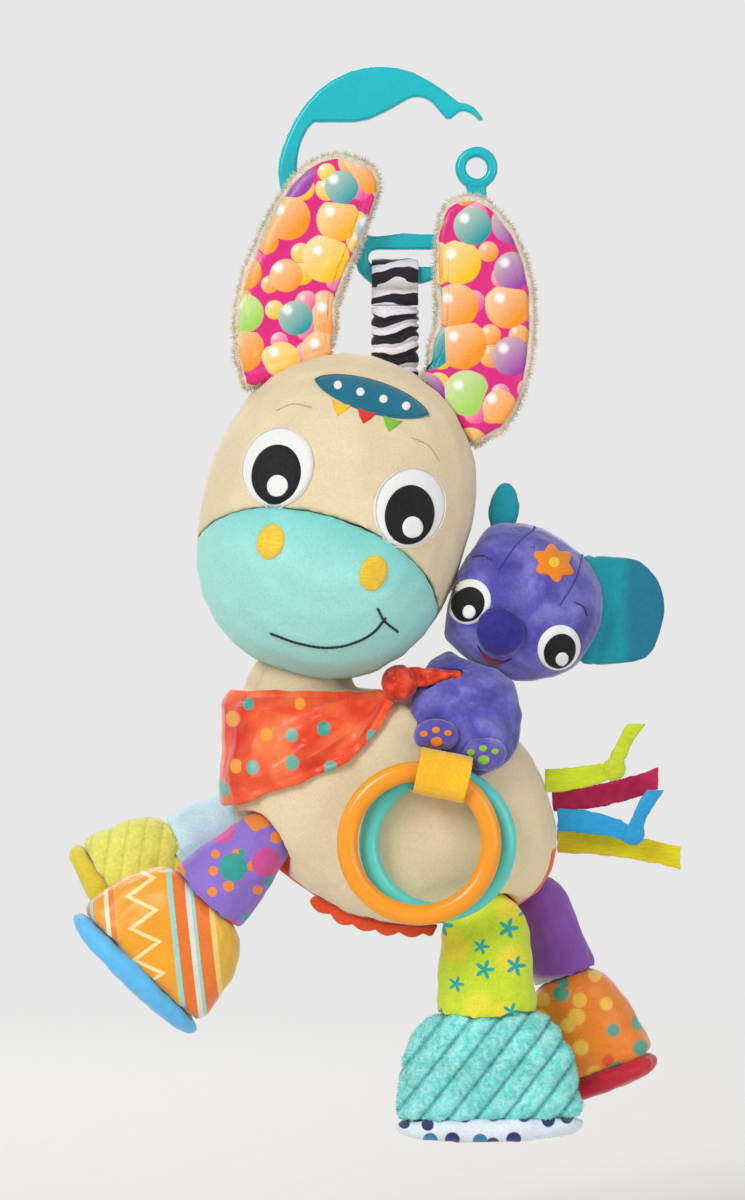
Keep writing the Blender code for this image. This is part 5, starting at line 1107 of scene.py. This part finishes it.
# %% [markdown]
# ## Ears
#
# An ear is plush behind and satin in front. The satin reaches nearly to the edge, and at the root
# right down to the head, so its outline is read from the plush and drawn in by the width of the
# fringe. It is laid on like a felt patch, but thicker, with creases. The crinkling film lies under
# it in the same way. Sewing two flat outlines together would not follow the ear's bend so closely.

# %% Ears
PLUSH_EDGE, ROOT_EDGE, ROOT_LENGTH = 1.7, 0.5, 9.0
SATIN_PUFF, SATIN_FILL, FILM_SHARE, OUTSIDE = 1.9, 0.3, 0.88, 0.1


def outline_of(obj, centre, count=110):
    """Outline of a piece seen from the front, in mm, read at the depth of its middle."""
    skin = skin_of(obj)
    found = []
    for i in range(count):
        turn = 2 * math.pi * i / count
        ray = Vector((math.cos(turn), 0.0, math.sin(turn)))
        point = skin.ray_cast(centre + ray * OUTSIDE, -ray)[0]
        found.append((point.x / MM, point.z / MM))
    return np.array(found)


EARS = {}
for side in ("left", "right"):
    EARS[side] = stuffed(
        "ear_plush_" + side, "ear_back_" + side, PLUSH_CREAM, voxel=0.6, lump=0.25, lump_size=8, pull=0.1,
        pucker=0.15, smooth=4, seed=50,
    )
    points = read(EARS[side].data.vertices, "co")
    middle = Vector((points.min(axis=0) + points.max(axis=0)) / 2)
    edge = outline_of(EARS[side], middle)
    reach = np.hypot(edge[:, 0] - HEAD_CENTRE.x / MM, edge[:, 1] - HEAD_CENTRE.z / MM)
    height = np.clip((reach - reach.min()) / ROOT_LENGTH, 0.0, 1.0)
    inset = ROOT_EDGE + (PLUSH_EDGE - ROOT_EDGE) * height
    inward = np.array((middle.x, middle.z)) / MM - edge
    edge += inward / np.linalg.norm(inward, axis=1)[:, None] * inset[:, None]
    skin = skin_of(EARS[side])
    lining, film = "ear_lining_" + side, "ear_film_" + side
    inner = edge.mean(axis=0) + FILM_SHARE * (edge - edge.mean(axis=0))
    patch(
        "crinkle_film_" + side, inner, (WORLD_PLACE, skin, BODY_OF[film]), FILM_CLEAR, SLOT_OF[film],
        thick=0.4, nodes=(film,)
    )
    satin = patch(
        "ear_satin_" + side, edge, (WORLD_PLACE, skin, BODY_OF[lining]), SATIN_BALLS, SLOT_OF[lining],
        thick=SATIN_PUFF, nodes=(lining,), rings=26, crease=0.5,
    )
print("ears ready")

# %% [markdown]
# ## Pile
#
# The ears' edges and the cord boot are long-pile plush. A geometry tree scatters thin tufts over
# a skin, where its pile attribute says, and leans each one its own way. The inputs are the tufts
# to a square metre, their length, their thickness, how far they lean, a seed and the cloth. Hair
# strands would look as soft, but tufts are plain mesh and so stay on the exported piece.

# %% Tuft tree
SHORT_TUFT, LONG_TUFT = 0.55, 1.15
PILE, given, end = geometry_tree(
    "pile", Density="Float", Length="Float", Thickness="Float", Lean="Float", Seed="Int", Cloth="Material"
)
share = add(PILE, "GeometryNodeInputNamedAttribute", data_type="FLOAT", Name="pile")
dense = add(PILE, MATH, given["Density"], share, operation="MULTIPLY")
roots = add(
    PILE, "GeometryNodeDistributePointsOnFaces", Mesh=given["Geometry"], Density=dense, Seed=given["Seed"]
)
tuft = add(
    PILE, "GeometryNodeMeshCone", Vertices=4, Side_Segments=2, Radius_Top=0.0,
    Radius_Bottom=given["Thickness"], Depth=given["Length"],
)
least = add(PILE, MATH, given["Lean"], -1.0, operation="MULTIPLY")
low_turn = add(PILE, "ShaderNodeCombineXYZ", least, least, 0.0)
high_turn = add(PILE, "ShaderNodeCombineXYZ", given["Lean"], given["Lean"], math.pi)
lean = add(
    PILE, "FunctionNodeRandomValue", low_turn, high_turn, data_type="FLOAT_VECTOR", Seed=given["Seed"]
)
turn = add(PILE, "FunctionNodeEulerToRotation", lean)
way = add(PILE, "FunctionNodeRotateRotation", roots.outputs["Rotation"], turn, rotation_space="LOCAL")
length = add(
    PILE, "FunctionNodeRandomValue", SHORT_TUFT, LONG_TUFT, data_type="FLOAT", Seed=given["Seed"]
)
tufts = add(PILE, "GeometryNodeInstanceOnPoints", Points=roots, Instance=tuft, Rotation=way, Scale=length)
real = add(PILE, "GeometryNodeRealizeInstances", Geometry=tufts)
dyed = add(PILE, "GeometryNodeSetMaterial", Geometry=real, Material=given["Cloth"])
feed(PILE, end.inputs["Geometry"], dyed)
print("pile tree has", len(PILE.nodes), "nodes")


# %% Pile on the ears and the cord boot
def pile_on(name, carrier, shares, look, body, slot, density, length, thickness, lean, seed):
    """Tufts over a piece, denser where its shares are higher; a count to a square mm and mm."""
    mesh = carrier.data.copy()
    mesh.name = name
    mesh.attributes.new("pile", "FLOAT", "POINT").data.foreach_set("value", shares.astype(np.float32))
    obj = new_piece(name, mesh, look)
    thin = 1.0
    run_tree(
        obj, PILE, Density=thin * density / MM**2, Length=length * MM, Thickness=thickness * MM,
        Lean=math.radians(lean), Seed=seed, Cloth=look
    )
    print(name, len(obj.data.polygons), "faces")
    return settle(obj, body, slot)


# An ear is fringed all round its rim, and has a quarter of those tufts on its back.
for seed, side in enumerate(("left", "right")):
    out = read(EARS[side].data.vertex_normals, "vector")
    rim = np.clip(1.3 - 1.5 * np.abs(out[:, 1]), 0.0, 1.0)
    back = np.clip(out[:, 1], 0.0, 1.0)
    shares = np.maximum(rim, 0.25 * back)
    pile_on(
        "ear_fringe_" + side, EARS[side], shares, PLUSH_CREAM, "ear_" + side, "cream_plush",
        density=7.0, length=1.7, thickness=0.16, lean=38, seed=seed + 1,
    )
everywhere = np.ones(len(BOOTS["near_rear"].data.vertices))
pile_on(
    "boot_pile", BOOTS["near_rear"], everywhere, CORD_TURQUOISE, "near_rear_leg", "turquoise_cord_plush",
    density=1.8, length=0.8, thickness=0.2, lean=50, seed=5,
)

# %% [markdown]
# ## Kerchief
#
# The kerchief is thin satin tied at the throat. A cloth simulation could drape it, but its folds
# are pulled tight and sewn in place. So they are waves that fan out from the knot and grow with
# the distance from it, and a stitched hem follows its edge.

# %% Folds of the kerchief
KNOT_X, KNOT_Z = 14.6, -161.8
FOLDS, FINE_FOLDS, FOLD_HEIGHT = 7, 23, 1.15
HEM_INSET, HEM_WIDTH, HEM_DEPTH = 2.2 * MM, 0.45 * MM, 0.35


def fan_folds(points, out, away):
    """Folds that spread from the knot, and the groove of a hem 2 mm inside the edge."""
    dx, dz = KNOT_X * MM - points[:, 0], KNOT_Z * MM - points[:, 2]
    reach = np.hypot(dx, dz)
    turn = np.arctan2(dz, dx)
    wide = np.abs(np.sin(FOLDS * turn + 45 * reach)) ** 0.7
    fold = 1.0 - 2.0 * wide + 0.5 * np.sin(FINE_FOLDS * turn - 90 * reach + 1.0)
    front = np.clip(-out[:, 1], 0.0, 1.0)
    hem = HEM_DEPTH * np.exp(-(((away - HEM_INSET) / HEM_WIDTH) ** 2))
    from_knot = np.clip(reach / (16 * MM), 0.3, 1.0)
    from_edge = np.clip(away / (3 * MM), 0.15, 1.0)
    return front * (FOLD_HEIGHT * fold * from_knot * from_edge - hem)


print(FOLDS, "folds to a turn")

# %% Kerchief and knot
KERCHIEF = stuffed(
    "kerchief_cloth", "kerchief", SATIN_ORANGE, voxel=0.45, lump=0.7, lump_size=9, pull=0.0, pucker=0.1,
    grow=0.2, smooth=4, seed=52, extra=fan_folds,
)
cloth_area = sum(polygon.area for polygon in KERCHIEF.data.polygons) / 2
print("kerchief", round(cloth_area * 1e4, 1), "square cm")
stuffed(
    "kerchief_tie", "kerchief_knot", SATIN_KNOT, voxel=0.35, lump=0.6, lump_size=3.2, pull=0.1,
    pucker=0.3, smooth=3, seed=53
)
print("kerchief tied")

# %% [markdown]
# ## Rings and their tab
#
# A moulded ring is a torus, so it is made as one, finer than its solid and in the same place.
# Smoothing the solid would leave its facets to be seen. The tab is a folded golden ribbon, and
# that starts from its solid, as the stuffed pieces do.


# %% Rings
RING_WIDENING = 1.16


def ring(name, node, look):
    """Torus as wide and as deep as the solid, its section a little wider than deep."""
    low, high = (Vector(corner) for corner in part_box(node))
    centre = (low + high) / 2
    deep = (high.y - low.y) / 2
    wide = RING_WIDENING * deep
    radius = (high.z - low.z) / 2 - wide
    points, faces = [], []
    around, across = 144, 32
    for i in range(around):
        turn = 2 * math.pi * i / around
        for j in range(across):
            roll = 2 * math.pi * j / across
            reach = radius + wide * math.cos(roll)
            place = Vector((reach * math.sin(turn), deep * math.sin(roll), reach * math.cos(turn)))
            points.append(centre + place)
            a, b = (i + 1) % around, (j + 1) % across
            faces.append((i * across + j, a * across + j, a * across + b, i * across + b))
    settle(mesh_from(name, points, faces, look), BODY_OF[node], SLOT_OF[node], node)
    print(name, "section", round(2 * wide / MM, 2), "by", round(2 * deep / MM, 2), "mm")


ring("ring_front", "ring_orange", RING_ORANGE)
ring("ring_back", "ring_turquoise", RING_TURQUOISE)
stuffed(
    "tab_ribbon", "ring_tab", RIBBON_GOLD, voxel=0.35, lump=0.2, lump_size=6, pull=0.05, pucker=0.05,
    smooth=3, seed=55
)

# %% [markdown]
# ## Tail ribbons
#
# Four flat ribbons, two of them knotted, with the creases of cloth that has been knotted tight.
# A knot is hard to work out from nothing, so each starts from its solid, which has it already.

# %% Tail
for number, (name, look) in enumerate(RIBBONS.items()):
    stuffed(
        "tail_ribbon_" + name, "ribbon_" + name, look, voxel=0.3, lump=0.35, lump_size=5, pull=0.05,
        pucker=0.2, pucker_size=1.8, smooth=3, seed=60 + number
    )
print("tail ready")

# %% [markdown]
# ## Strap
#
# A striped cloth tube is gathered over flat elastic, so it wrinkles into soft rings. The tube is
# built as rows of points down its length. Each gather draws a row in, a slow noise makes the
# gathers wander round the tube, and the gather count is kept on the mesh to colour the stripes.

# %% Gathered sleeve
STRAP_X = 13.5
SLEEVE_TOP, SLEEVE_END = -53.4, -73.9
SLEEVE_WIDTH, SLEEVE_THICK, SLEEVE_WALL = 13.9, 7.4, 0.6
GATHER_PITCH, GATHER_DEPTH = 2.9, 1.1
WANDER_ACROSS, WANDER_DOWN, WANDER, SLANT = 0.11, 0.16, 0.9, 0.035


def gather(x, y, z):
    """How many gathers lie above this point of the strap, in mm."""
    wander = noise.noise(Vector((x * WANDER_ACROSS, y * WANDER_ACROSS, z * WANDER_DOWN)))
    return (SLEEVE_TOP - z) / GATHER_PITCH + WANDER * wander + SLANT * (x - STRAP_X)


print(round((SLEEVE_TOP - SLEEVE_END) / GATHER_PITCH), "gathers")

# %% Sleeve mesh
rows, around = 110, 72
points, faces, folds = [], [], []
for layer in (0.0, SLEEVE_WALL):
    for k in range(rows + 1):
        row = k if not layer else rows - k
        z = SLEEVE_TOP + (SLEEVE_END - SLEEVE_TOP) * row / rows
        for i in range(around):
            a = 2 * math.pi * i / around
            c, s = math.cos(a), math.sin(a)
            square = (abs(c) ** 3 + abs(s) ** 3) ** (-1 / 3)
            x, y = SLEEVE_WIDTH / 2 * square * c, SLEEVE_THICK / 2 * square * s
            count = gather(STRAP_X + x, y, z)
            drawn = GATHER_DEPTH * (1 - abs(math.sin(math.pi * count)) ** 0.7) + layer
            reach = math.hypot(x, y)
            x, y = x * (1 - drawn / reach), y * (1 - drawn / reach)
            points.append(Vector((STRAP_X + x, y, z)) * MM)
            folds.append(count)
total = 2 * (rows + 1)
for k in range(total):
    for i in range(around):
        j = (i + 1) % around
        a, b = k * around, (k + 1) % total * around
        faces.append((a + i, b + i, b + j, a + j))
print("sleeve has", len(faces), "faces")

# %% Sleeve, elastic and loop
mesh = bpy.data.meshes.new("strap_cloth")
mesh.from_pydata([tuple(point) for point in points], [], faces)
mesh.attributes.new("fold", "FLOAT", "POINT").data.foreach_set("value", folds)
sleeve = new_piece("strap_cloth", mesh, STRIPED_CLOTH)
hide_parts("strap_sleeve")
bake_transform(sleeve)
band = stuffed(
    "strap_band", "strap_elastic", ELASTIC_WHITE, voxel=0.35, lump=0.0, pull=0.0, pucker=0.0,
    smooth=2, seed=72, ride=False
)
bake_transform(band)
loop = stuffed(
    "strap_eye", "strap_loop", STRIPED_CLOTH, voxel=0.35, lump=0.25, lump_size=4, pull=0.2,
    pucker=0.2, smooth=3, seed=70
)
counts = [gather(v.co.x / MM, v.co.y / MM, v.co.z / MM) for v in loop.data.vertices]
loop.data.attributes.new("fold", "FLOAT", "POINT").data.foreach_set("value", counts)
print("strap", round(SLEEVE_TOP - SLEEVE_END, 1), "mm long")

# %% [markdown]
# ## Hook
#
# The hook is one moulding with softened rims. Bevels could round them, but remeshing and relaxing
# its solid does so for every rim at once, also where the arch and the eyelet run together.

# %% Hook
HOOK = stuffed(
    "hook_moulding", "hook", POLYPROPYLENE_TEAL, voxel=0.36 / COARSE, lump=0.0, pull=0.0, pucker=0.0,
    smooth=6
)
print("hook", len(HOOK.data.polygons), "faces")

# %% [markdown]
# ## Stage
#
# The toy hangs over a round sheet of pale paper. The paper thins out towards its rim, and the
# world behind it is as pale as the lit paper, so that no view of the toy has a horizon or a wall
# in its way. Large soft lamps light it, at a level at which a colour renders about as it is
# written.

# %% Floor, lamps and world
FLOOR_DROP, FLOOR_RADIUS, FADE_FROM, FADE_TO = 0.335, 1.3, 0.3, 1.2
BACKDROP_LEVEL, ROOM_LEVEL = 0.8, 0.42
paper = cloth("pale sweep paper", "#F1EFEC", pile=1.5, depth=0.02, rough=0.9, sheen=0.0, blotch=0.01)
tree = paper.node_tree
reach = add(tree, VECTOR, where(tree, scale=(1.0, 1.0, 0.0)), operation="LENGTH")
thinning = add(tree, SPAN, reach, FADE_FROM, FADE_TO, 1.0, 0.0)
feed(tree, tree.nodes["Principled BSDF"].inputs["Alpha"], thinning)
rim = []
for turn in np.linspace(0, 2 * math.pi, 96, endpoint=False):
    rim.append((FLOOR_RADIUS * math.cos(turn), FLOOR_RADIUS * math.sin(turn), -FLOOR_DROP))
mesh_from("floor", rim, [list(range(len(rim)))], paper)


def lamp(name, place, size, watts):
    """Square soft lamp that faces the toy; size in metres."""
    data = bpy.data.lights.new(name, "AREA")
    data.shape = "SQUARE"
    data.size = size
    data.energy = watts
    obj = bpy.data.objects.new(name, data)
    bpy.context.scene.collection.objects.link(obj)
    obj.location = place
    obj.rotation_euler = (TOY_CENTRE - Vector(place)).to_track_quat("-Z", "Y").to_euler()


lamp("key", (-0.75, -1.1, 0.55), 0.6, 12.0)
lamp("fill", (1.0, -0.9, 0.1), 0.9, 4.5)
lamp("back", (-0.3, 1.1, 0.7), 0.8, 8.0)
world = bpy.data.worlds.new("studio")
bpy.context.scene.world = world
world.use_nodes = True
tree = world.node_tree
seen = add(tree, "ShaderNodeLightPath").outputs
rays = add(tree, MATH, seen["Is Camera Ray"], seen["Is Glossy Ray"], operation="MAXIMUM")
rays = add(tree, MATH, rays, seen["Is Transmission Ray"], operation="MAXIMUM")
level = add(tree, SPAN, rays, 0.0, 1.0, ROOM_LEVEL, BACKDROP_LEVEL)
feed(tree, tree.nodes["Background"].inputs["Color"], "#FFFFFF")
feed(tree, tree.nodes["Background"].inputs["Strength"], level)
bpy.context.scene.view_settings.view_transform = "Standard"
print("stage ready")
